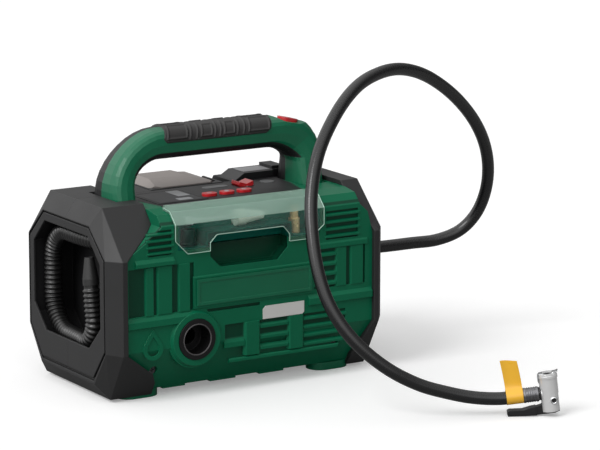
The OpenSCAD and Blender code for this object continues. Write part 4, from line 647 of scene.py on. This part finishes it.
END_PIECES = [rivet("rivet_front", -1), rivet("rivet_rear", 1), chuck_seal(),
              clip("clip_left", [(-8.9, 10.5), (-9.0, 14.0), (-8.8, 17.0), (-7.8, 18.6), (-6.4, 18.9),
                                 (-5.2, 18.5), (-4.4, 19.2)]),
              clip("clip_right", [(4.3, 18.6), (5.4, 19.4), (6.8, 19.2), (8.2, 19.6), (9.8, 20.2)]),
              ferrule_sleeve(), neck_seal(), build_tag()]


# ---------------------------------------------------------------- clear lid's rounded rim, a pale bead painted as its edge highlight
def rounded_path(corners, r):
    """A path through corners, each rounded off within r of the corner, in metres."""
    steps, part = 4, 2.5
    p = [np.array(c, float) for c in corners]
    out = [p[0]]
    for a, b, c in zip(p, p[1:], p[2:]):
        d0, d1 = b - a, c - b
        k = min(r, np.linalg.norm(d0) / part, np.linalg.norm(d1) / part)
        s, e = b - unit(d0) * k, b + unit(d1) * k
        for i in range(steps + 1):
            t = i / steps
            out.append((1 - t) ** 2 * s + 2 * t * (1 - t) * b + t * t * e)
    out.append(p[-1])
    return np.array(out) * MM


def lid_edge_highlight():
    """Pale bead along the lid's edge, painted as the clear lid's edge highlight: from the rear left corner
    down, along the foot and up to the rear right.
    """
    # its middle lies this far inside the lid's sides and foot, and this far in front of its face
    off = 0.05
    bead_r, corner_r, sides = 0.38, 0.8, 12
    lo, hi = box_mm("storage_lid")
    left, right, foot, face = lo[0] + off, hi[0] - off, lo[2] + off, lo[1] - off
    rear, brow = (-64.2, 178.25), (-77.05, 176.6)
    crease = 165.8
    # the notch over the finger recess, and width and height of each slanted corner
    notch_left, notch_right, notch_top = -45.55, 40.45, 152.45
    left_w, left_h, right_w, right_h = 12.95, 12.95, 14.95, 11.95
    notch_left_w, notch_left_h, notch_right_w, notch_right_h = 7.05, 6.95, 6.95, 7.95
    edge = [(left, foot + left_h), (left + left_w, foot), (notch_left, foot),
            (notch_left, notch_top - notch_left_h), (notch_left + notch_left_w, notch_top),
            (notch_right - notch_right_w, notch_top),
            (notch_right, notch_top - notch_right_h), (notch_right, foot), (right - right_w, foot),
            (right, foot + right_h)]
    path = [(left, *rear), (left, *brow), (left, face, crease)] + [(x, face, z) for x, z in edge]
    path += [(right, face, crease), (right, *brow), (right, *rear)]
    path = rounded_path(path, corner_r)
    v, f = tube(path, [bead_r * MM] * len(path), sides)
    piece("lid_edge_highlight", v, f, "lid", "clear_lid", look="lid_edge_highlight")


lid_edge_highlight()


# ---------------------------------------------------------------- shader helpers
BEVEL_SAMPLES = 6
# the part of a noise's range that most of its values lie in
NOISE_LOW, NOISE_HIGH = 0.3, 0.7


def link(tree, a, b):
    tree.links.new(a, b)


def feed(tree, value, socket):
    """Links an output to a socket, or writes a number or a colour on it."""
    if isinstance(value, bpy.types.NodeSocket):
        link(tree, value, socket)
    else:
        socket.default_value = value


def node_of(tree, kind, **values):
    """A new node with some of its settings and input values."""
    n = tree.nodes.new(kind)
    for key, value in values.items():
        if hasattr(n, key):
            setattr(n, key, value)
        else:
            n.inputs[key.replace("_", " ")].default_value = value
    return n


def emptied(owner):
    """The cleared node tree of a new material or world."""
    owner.use_nodes = True
    owner.node_tree.nodes.clear()
    return owner.node_tree


def shader(name):
    """A material with a principled shader, and the object's coordinates for its textures."""
    mat = bpy.data.materials.new(name)
    tree = emptied(mat)
    out = node_of(tree, "ShaderNodeOutputMaterial")
    bsdf = node_of(tree, "ShaderNodeBsdfPrincipled")
    link(tree, bsdf.outputs[0], out.inputs[0])
    return mat, tree, bsdf, node_of(tree, "ShaderNodeTexCoord")


def ranged(tree, source, low, high, a=0.0, b=1.0):
    """Maps a value from a..b to low..high."""
    m = node_of(tree, "ShaderNodeMapRange", From_Min=a, From_Max=b, To_Min=low, To_Max=high)
    link(tree, source, m.inputs["Value"])
    return m.outputs["Result"]


def noise(tree, coord, scale, detail, roughness=0.5):
    n = node_of(tree, "ShaderNodeTexNoise", Scale=scale, Detail=detail, Roughness=roughness)
    link(tree, coord, n.inputs["Vector"])
    return n.outputs["Fac"]


def mixed(tree, factor, a, b):
    """Colour a to colour b by a factor; a may be an output."""
    m = node_of(tree, "ShaderNodeMix", data_type="RGBA")
    link(tree, factor, m.inputs["Factor"])
    feed(tree, a, m.inputs["A"])
    feed(tree, b, m.inputs["B"])
    return m.outputs["Result"]


def combined(tree, operation, a, b):
    """Two numbers or outputs put together by a maths operation."""
    m = node_of(tree, "ShaderNodeMath", operation=operation)
    feed(tree, a, m.inputs[0])
    feed(tree, b, m.inputs[1])
    return m.outputs[0]


def either(tree, factor, a, b):
    """Shader a where the factor is 0, shader b where it is 1."""
    m = node_of(tree, "ShaderNodeMixShader")
    for value, socket in zip((factor, a, b), m.inputs):
        link(tree, value, socket)
    return m.outputs[0]


def raised(tree, height, strength, distance, normal=None):
    """Normal of a surface with a fine relief, which is distance mm high at most."""
    b = node_of(tree, "ShaderNodeBump", Strength=strength, Distance=distance * MM)
    link(tree, height, b.inputs["Height"])
    if normal is not None:
        link(tree, normal, b.inputs["Normal"])
    return b.outputs[0]


def round_edges(tree, radius):
    return node_of(tree, "ShaderNodeBevel", samples=BEVEL_SAMPLES, Radius=radius * MM).outputs[0]


def edge_mask(tree, bevel):
    """1 on convex and concave edges, 0 on flat faces."""
    flat, edge = 0.995, 0.78
    geo = node_of(tree, "ShaderNodeNewGeometry")
    dot = node_of(tree, "ShaderNodeVectorMath", operation="DOT_PRODUCT")
    link(tree, bevel, dot.inputs[0])
    link(tree, geo.outputs["Normal"], dot.inputs[1])
    return ranged(tree, dot.outputs["Value"], 1.0, 0.0, edge, flat)


def roughness_by(tree, bsdf, source, low, high):
    link(tree, ranged(tree, source, low, high, NOISE_LOW, NOISE_HIGH), bsdf.inputs["Roughness"])


def scaled(color, share, more=0.0):
    """A colour made darker or lighter, as a socket takes it."""
    return (*[min(1.0, c * share + more) for c in color], 1)


def grey(level):
    return (level, level, level, 1)


# ---------------------------------------------------------------- kinds of material
def moulded(name, color, rough=0.45, grain=0.25, spec=0.5, edge=0.35, vary=0.12, radius=0.7, coat=0.0):
    """Moulded plastic or rubber: fine grain, soft blotches in colour and gloss, rounded edges made lighter
    in colour, as wear and as a painted highlight.
    """
    grain_size, grain_height, blotch_scale = 0.9, 0.12, 18.0
    gloss_spread, coat_rough = 0.06, 0.08
    mat, tree, bsdf, coord = shader(name)
    fine = noise(tree, coord.outputs["Object"], 1 / (grain_size * MM), detail=3.0, roughness=0.55)
    broad = noise(tree, coord.outputs["Object"], blotch_scale, detail=4.0, roughness=0.6)
    bevel = round_edges(tree, radius)
    link(tree, raised(tree, fine, grain, grain_height, bevel), bsdf.inputs["Normal"])
    blotched = mixed(tree, broad, scaled(color, 1 - vary), scaled(color, 1 + vary, 0.002))
    # lighter colour on every edge, convex and concave alike: partly wear, partly a painted highlight
    edge_wear_and_highlight = ranged(tree, edge_mask(tree, bevel), 0.0, edge)
    link(tree, mixed(tree, edge_wear_and_highlight, blotched, scaled(color, 1.5, 0.012)), bsdf.inputs["Base Color"])
    roughness_by(tree, bsdf, broad, rough - gloss_spread, rough + gloss_spread)
    bsdf.inputs["Specular IOR Level"].default_value = spec
    if coat:
        bsdf.inputs["Coat Weight"].default_value = coat
        bsdf.inputs["Coat Roughness"].default_value = coat_rough
    return mat


def metal(name, color, rough, scratch=0.15, along="X", share=1.0):
    """Plated or turned metal with fine marks along one direction."""
    edge_r, mark_height, blotch_scale, blotch_dark = 0.4, 0.03, 60.0, 0.86
    long_scale, cross_scale = 120, 2600
    glossiest, dullest = 0.7, 1.4
    mat, tree, bsdf, coord = shader(name)
    stretch = node_of(tree, "ShaderNodeMapping")
    stretch.inputs["Scale"].default_value = [long_scale if axis == along else cross_scale for axis in "XYZ"]
    link(tree, coord.outputs["Object"], stretch.inputs["Vector"])
    fine = noise(tree, stretch.outputs[0], 1.0, detail=2.0)
    broad = noise(tree, coord.outputs["Object"], blotch_scale, detail=3.0)
    link(tree, raised(tree, fine, scratch, mark_height, round_edges(tree, edge_r)), bsdf.inputs["Normal"])
    link(tree, mixed(tree, broad, scaled(color, blotch_dark), scaled(color, 1.0)), bsdf.inputs["Base Color"])
    roughness_by(tree, bsdf, broad, rough * glossiest, rough * dullest)
    bsdf.inputs["Metallic"].default_value = share
    return mat


def clear_plastic(name):
    """Clear lid: slightly green, with faint moulding marks. A pale diffuse cover is painted on its faces
    turned up, as a painted sheen, and on its edges, as a painted highlight.
    """
    tint, painted_sheen_color = (0.84, 0.96, 0.92, 1), (0.32, 0.47, 0.39, 1)
    edge_r, flow_scale, flow_strength, flow_height = 0.5, 45.0, 0.05, 0.3
    # upward part of a face's normal where the painted sheen starts and is full, and its shares there; the
    # last is its share on the edges, a painted highlight
    steep, level, least_painted_sheen, most_painted_sheen, edge_painted_sheen = 0.15, 0.5, 0.02, 0.52, 0.60
    mat, tree, bsdf, coord = shader(name)
    broad = noise(tree, coord.outputs["Object"], flow_scale, detail=2.0)
    bevel = round_edges(tree, edge_r)
    link(tree, raised(tree, broad, flow_strength, flow_height, bevel), bsdf.inputs["Normal"])
    roughness_by(tree, bsdf, broad, 0.03, 0.10)
    for key, value in (("Base Color", tint), ("Transmission Weight", 1.0), ("IOR", 1.46),
                       ("Specular IOR Level", 0.12)):
        bsdf.inputs[key].default_value = value
    split = node_of(tree, "ShaderNodeSeparateXYZ")
    link(tree, coord.outputs["Normal"], split.inputs[0])
    upward = ranged(tree, split.outputs[2], least_painted_sheen, most_painted_sheen, steep, level)
    edge = ranged(tree, edge_mask(tree, bevel), 0.0, edge_painted_sheen)
    # pale diffuse cover: painted sheen on upward faces and a painted highlight on edges
    painted_sheen = node_of(tree, "ShaderNodeBsdfDiffuse", Color=painted_sheen_color)
    cover = either(tree, combined(tree, "MAXIMUM", upward, edge), bsdf.outputs[0], painted_sheen.outputs[0])
    out = next(n for n in tree.nodes if n.type == "OUTPUT_MATERIAL")
    link(tree, cover, out.inputs[0])
    return mat


def braided(name, color, across, along, rough):
    """Rubber hose with the faint pattern of its woven cover: across round the tube, along in a metre."""
    strength, weave_height, grain_height, grain_scale = 0.15, 0.2, 0.1, 1500.0
    groove_shade, thread_light, gloss_spread = 0.7, 1.35, 0.08
    mat, tree, bsdf, coord = shader(name)
    uv = node_of(tree, "ShaderNodeUVMap", uv_map="along")
    split = node_of(tree, "ShaderNodeSeparateXYZ")
    link(tree, uv.outputs[0], split.inputs[0])

    def wave(sign):
        turn = combined(tree, "MULTIPLY", split.outputs[0], across * 2 * math.pi)
        run = combined(tree, "MULTIPLY", split.outputs[1], sign * along * 2 * math.pi)
        sine = node_of(tree, "ShaderNodeMath", operation="SINE")
        link(tree, combined(tree, "ADD", turn, run), sine.inputs[0])
        return sine.outputs[0]

    height = ranged(tree, combined(tree, "MULTIPLY", wave(1), wave(-1)), 0.0, 1.0, -1.0, 1.0)
    fine = noise(tree, coord.outputs["Object"], grain_scale, detail=2.0)
    weave = raised(tree, height, strength, weave_height)
    link(tree, raised(tree, fine, strength, grain_height, weave), bsdf.inputs["Normal"])
    # colour darker in the weave's grooves and lighter on its threads: painted shade and painted light
    link(tree, mixed(tree, height, scaled(color, groove_shade), scaled(color, thread_light)), bsdf.inputs["Base Color"])
    roughness_by(tree, bsdf, fine, rough - gloss_spread, rough + gloss_spread)
    return mat


# ---------------------------------------------------------------- painted shade of the front: in its relief and its finger recess
# the cut relief: its depth from and to, and the height above which it lies
RELIEF_Y, RELIEF_Z = (-84.4, -81.8), 50.5
# the finger recess: its mouth's depth, its sides, its foot and top
RECESS_Y, RECESS_X, RECESS_Z = -84.2, (-45.6, 40.6), (119.5, 153.0)
# the height round which the recess's painted shade grows darker, over what run, and how dark it is below and
# above
FALL_Z, FALL_RUN, FALL_DARK = 134.0, 30.0, (0.55, 0.95)


def axis_mask(tree, coord, axis, at, width):
    """0 below a place on an object axis, 1 above it."""
    split = node_of(tree, "ShaderNodeSeparateXYZ")
    link(tree, coord.outputs["Object"], split.inputs[0])
    return ranged(tree, split.outputs[axis], 0.0, 1.0, (at - width / 2) * MM, (at + width / 2) * MM)


def times(tree, a, b):
    return combined(tree, "MULTIPLY", a, b)


def between(tree, coord, axis, span, widths):
    """1 between two places on an object axis."""
    past = axis_mask(tree, coord, axis, span[1], widths[1])
    return times(tree, axis_mask(tree, coord, axis, span[0], widths[0]), ranged(tree, past, 1.0, 0.0))


def relief_shade(tree, coord):
    """Where shade is painted into the front's colour: its cut grooves and fields, which hold little light.
    """
    cut = between(tree, coord, 1, RELIEF_Y, (1.0, 0.8))
    return times(tree, cut, axis_mask(tree, coord, 2, RELIEF_Z, 0.6))


def recess_shade(tree, coord):
    """Painted shade in the finger recess, darker towards its back and top."""
    fall = ranged(tree, axis_mask(tree, coord, 2, FALL_Z, FALL_RUN), *FALL_DARK)
    soft = (0.4, 0.4)
    window = times(tree, between(tree, coord, 0, RECESS_X, soft), between(tree, coord, 2, RECESS_Z, soft))
    return times(tree, times(tree, axis_mask(tree, coord, 1, RECESS_Y, 2.0), fall), window)


def tinted(mat, mask_of, color):
    """Lays a second colour over a material's own where a mask is 1."""
    tree = mat.node_tree
    bsdf = next(n for n in tree.nodes if n.type == "BSDF_PRINCIPLED")
    coord = next(n for n in tree.nodes if n.type == "TEX_COORD")
    own = bsdf.inputs["Base Color"].links[0].from_socket
    link(tree, mixed(tree, mask_of(tree, coord), own, scaled(color, 1.0)), bsdf.inputs["Base Color"])
    return mat


# ---------------------------------------------------------------- looks
GREEN = (0.0004, 0.130, 0.060)
# darker green painted as shade in the cut relief
RELIEF_SHADE_GREEN = (0.0004, 0.046, 0.022)
# near-black green painted as shade deep in the finger recess
RECESS_SHADE_GREEN = (0.0004, 0.012, 0.006)


def front_green():
    """The front shell's green, with painted shade in its relief and in the finger recess."""
    mat = moulded("front_green", GREEN, rough=0.42, grain=0.22, edge=0.30, spec=0.22)
    return tinted(tinted(mat, relief_shade, RELIEF_SHADE_GREEN), recess_shade, RECESS_SHADE_GREEN)


LOOKS = {
    # finishes of the record's slots
    "body_green": moulded("green_plastic", GREEN, rough=0.36, grain=0.22, edge=0.30, spec=0.42),
    "dark_plastic": moulded("dark_plastic", (0.011, 0.011, 0.012), rough=0.50, grain=0.3, spec=0.4),
    "bumper_rubber": moulded("bumper_rubber", (0.020, 0.020, 0.0205), rough=0.55, grain=0.35, edge=0.6,
                             radius=1.2, spec=0.38),
    "black_plastic": moulded("black_plastic", (0.008, 0.008, 0.009), rough=0.45, grain=0.2, spec=0.4),
    "grip_rubber": moulded("grip_rubber", (0.030, 0.029, 0.029), rough=0.60, grain=0.4, edge=0.9,
                           radius=0.5, spec=0.3),
    "red_plastic": moulded("red_plastic", (0.60, 0.012, 0.018), rough=0.30, grain=0.08, edge=0.25,
                           coat=0.3),
    "display": moulded("display_window", (0.016, 0.017, 0.019), rough=0.34, grain=0.02, edge=0.1,
                       spec=0.25),
    "clear_lid": clear_plastic("clear_lid"),
    "steel": metal("plated_steel", (0.58, 0.59, 0.60), 0.25),
    "chrome": metal("chrome", (0.80, 0.81, 0.82), 0.08, scratch=0.05, along="Z"),
    "brass": metal("turned_brass", (0.95, 0.62, 0.34), 0.24, along="Z", share=0.6),
    "aluminium": metal("cast_aluminium", (0.60, 0.61, 0.62), 0.38),
    "white_plastic": moulded("cream_plastic", (0.80, 0.77, 0.68), rough=0.35, grain=0.08, edge=0.1,
                             vary=0.04),
    "grey_plastic": moulded("grey_plastic", (0.075, 0.077, 0.080), rough=0.45, grain=0.2),
    "pack_grey": moulded("pack_grey", (0.255, 0.228, 0.215), rough=0.50, grain=0.25, edge=0.2, vary=0.06),
    "pale_label": moulded("pale_label", (0.72, 0.71, 0.69), rough=0.30, grain=0.03, edge=0.0, vary=0.03,
                          coat=0.4),
    "tag_yellow": moulded("tag_film", (0.93, 0.50, 0.03), rough=0.28, grain=0.05, edge=0.2, vary=0.06,
                          coat=0.3),
    "board": moulded("board_laminate", (0.012, 0.10, 0.035), rough=0.35, grain=0.1, coat=0.5),
    "hose_rubber": moulded("hose_rubber", (0.010, 0.010, 0.011), rough=0.50, grain=0.2),
    "ribbed_plastic": moulded("ribbed_plastic", (0.010, 0.010, 0.010), rough=0.34, grain=0.1, radius=0.2,
                              edge=0.3),
    # finishes of single nodes and pieces
    "front_green": front_green(),
    "cuff_grey": moulded("cuff_grey", (0.020, 0.020, 0.020), rough=0.45, grain=0.15, edge=0.3, spec=0.4),
    "port_rim": moulded("port_rim", (0.085, 0.080, 0.082), rough=0.35, grain=0.1, edge=0.3),
    "tray_teal": moulded("tray_teal", (0.0005, 0.120, 0.085), rough=0.45, grain=0.15, spec=0.1),
    # dark teal painted on the mattress adapter as the shade inside the lid
    "adapter_shade_teal": moulded("adapter_shade_teal", (0.001, 0.034, 0.027), rough=0.40, grain=0.15, spec=0.3),
    "port_black": moulded("port_black", (0.0040, 0.0038, 0.0042), rough=0.45, grain=0.15, spec=0.3,
                          edge=0.2),
    # pale bead colour, painted as the clear lid's edge highlight
    "lid_edge_highlight": moulded("lid_edge_highlight", (0.42, 0.68, 0.55), rough=0.20, grain=0.03, edge=0.0, radius=0.1,
                       coat=0.5),
    "satin_chrome": metal("satin_chrome", (0.90, 0.90, 0.90), 0.16, scratch=0.06, along="Z", share=0.42),
    "dark_pin": metal("blackened_pin", (0.035, 0.035, 0.036), 0.35, share=0.8),
    "dark_screw": metal("blackened_screw", (0.10, 0.10, 0.105), 0.40),
    "display_field": moulded("display_field", (0.30, 0.31, 0.32), rough=0.30, grain=0.05, edge=0.2),
    "key_mark": moulded("key_mark", (0.42, 0.43, 0.44), rough=0.45, grain=0.1, edge=0.2),
    "ferrule_grey": metal("crimped_sleeve", (0.20, 0.20, 0.21), 0.34),
    "bay_black": moulded("bay_black", (0.0035, 0.0035, 0.004), rough=0.60, grain=0.2, spec=0.3, edge=0.1),
    "mark_grey": moulded("mark_grey", (0.16, 0.165, 0.17), rough=0.40, grain=0.15, edge=0.3),
    "badge_grey": moulded("badge_grey", (0.30, 0.30, 0.31), rough=0.35, grain=0.1, edge=0.3),
}
NODE_LOOK = {"front_shell": "front_green", "storage_lid": "clear_lid", "storage_tray": "tray_teal",
             "mattress_adapter": "adapter_shade_teal", "port_ring": "port_black", "panel_plate": "mark_grey",
             "rear_badge": "badge_grey", "hose_bay": "bay_black", "outlet_bay": "bay_black",
             "hose_cuff": "cuff_grey", "case_screws": "dark_screw", "chuck_body": "satin_chrome",
             "chuck_pin": "dark_pin"}
SLOT_OF = {s["node"]: s["material_slot"] for s in frame["record"]["subparts"]}


def dress(obj, mat):
    obj.data.materials.clear()
    obj.data.materials.append(mat)


for name, obj in NODES.items():
    look = LOOKS.get(NODE_LOOK.get(name, SLOT_OF[name]))
    for slot in obj.material_slots:
        slot.material = look
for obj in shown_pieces():
    if obj.name in LOOK_OF:
        dress(obj, LOOKS[LOOK_OF[obj.name]])
dress(hose, braided("hose_cover", (0.0065, 0.0065, 0.007), across=9, along=240, rough=0.27))


# ---------------------------------------------------------------- floor and light
# the floor's half width and its drop below the part, in metres
FLOOR_HALF, FLOOR_DROP = 30.0, 0.0002
# the floor as the camera sees it, with a little glow, and as it lights the part
FLOOR_SEEN, FLOOR_GLOW, FLOOR_BOUNCE = 0.86, 0.26, 0.36
# brightness of the room as a lamp and in reflections, and how it grows towards its bright side
ROOM_LIGHT, ROOM_MIRRORED, ROOM_SEEN = 0.72, 1.5, 1.0
ROOM_BRIGHT = (-0.62, 0.10, 0.78)
ROOM_STOPS = [(0.30, 0.10), (0.50, 0.20), (0.68, 0.70), (0.84, 1.1)]


def make_floor():
    """Pale floor that keeps the part's shadow."""
    s = FLOOR_HALF
    data = bpy.data.meshes.new("floor")
    data.from_pydata([(-s, -s, 0), (s, -s, 0), (s, s, 0), (-s, s, 0)], [], [(0, 1, 2, 3)])
    floor = bpy.data.objects.new("floor", data)
    floor.location.z = -FLOOR_DROP
    scene.collection.objects.link(floor)
    mat = bpy.data.materials.new("floor")
    tree = emptied(mat)
    seen = node_of(tree, "ShaderNodeAddShader")
    link(tree, node_of(tree, "ShaderNodeBsdfDiffuse", Color=grey(FLOOR_SEEN)).outputs[0], seen.inputs[0])
    link(tree, node_of(tree, "ShaderNodeEmission", Strength=FLOOR_GLOW).outputs[0], seen.inputs[1])
    dim = node_of(tree, "ShaderNodeBsdfDiffuse", Color=grey(FLOOR_BOUNCE))
    path = node_of(tree, "ShaderNodeLightPath")
    out = node_of(tree, "ShaderNodeOutputMaterial")
    link(tree, either(tree, path.outputs["Is Camera Ray"], dim.outputs[0], seen.outputs[0]), out.inputs[0])
    dress(floor, mat)


def make_room():
    """White where it is seen. As a light and in reflections, bright above and to the left, dim low down."""
    world = bpy.data.worlds.new("studio")
    tree = emptied(world)
    coord = node_of(tree, "ShaderNodeTexCoord")
    toward = node_of(tree, "ShaderNodeVectorMath", operation="DOT_PRODUCT")
    toward.inputs[1].default_value = Vector(ROOM_BRIGHT).normalized()
    link(tree, coord.outputs["Generated"], toward.inputs[0])
    ramp = node_of(tree, "ShaderNodeValToRGB")
    while len(ramp.color_ramp.elements) < len(ROOM_STOPS):
        ramp.color_ramp.elements.new(0.5)
    for stop, (at, level) in zip(ramp.color_ramp.elements, ROOM_STOPS):
        stop.position, stop.color = at, grey(level)
    link(tree, ranged(tree, toward.outputs["Value"], 0.0, 1.0, -1.0, 1.0), ramp.inputs[0])
    light = node_of(tree, "ShaderNodeBackground", Strength=ROOM_LIGHT)
    mirrored = node_of(tree, "ShaderNodeBackground", Strength=ROOM_MIRRORED)
    for shade in (light, mirrored):
        link(tree, ramp.outputs[0], shade.inputs["Color"])
    white = node_of(tree, "ShaderNodeBackground", Strength=ROOM_SEEN, Color=grey(1))
    path = node_of(tree, "ShaderNodeLightPath")
    last = light.outputs[0]
    for ray, shade in (("Glossy", mirrored), ("Transmission", white), ("Camera", white)):
        last = either(tree, path.outputs["Is %s Ray" % ray], last, shade.outputs[0])
    out = node_of(tree, "ShaderNodeOutputWorld")
    link(tree, last, out.inputs[0])
    scene.world = world


def sun(name, strength, angle, direction):
    """A soft lamp; its angle is in degrees and it shines along its direction."""
    data = bpy.data.lights.new(name, "SUN")
    data.energy = strength
    data.angle = math.radians(angle)
    obj = bpy.data.objects.new(name, data)
    obj.rotation_euler = Vector(direction).to_track_quat("-Z", "Y").to_euler()
    scene.collection.objects.link(obj)


make_floor()
make_room()
sun("key", strength=1.45, angle=28, direction=(0.95, 0.25, -0.85))
sun("fill", strength=0.30, angle=45, direction=(0.25, 0.9, -0.45))
scene.view_settings.view_transform = "Standard"
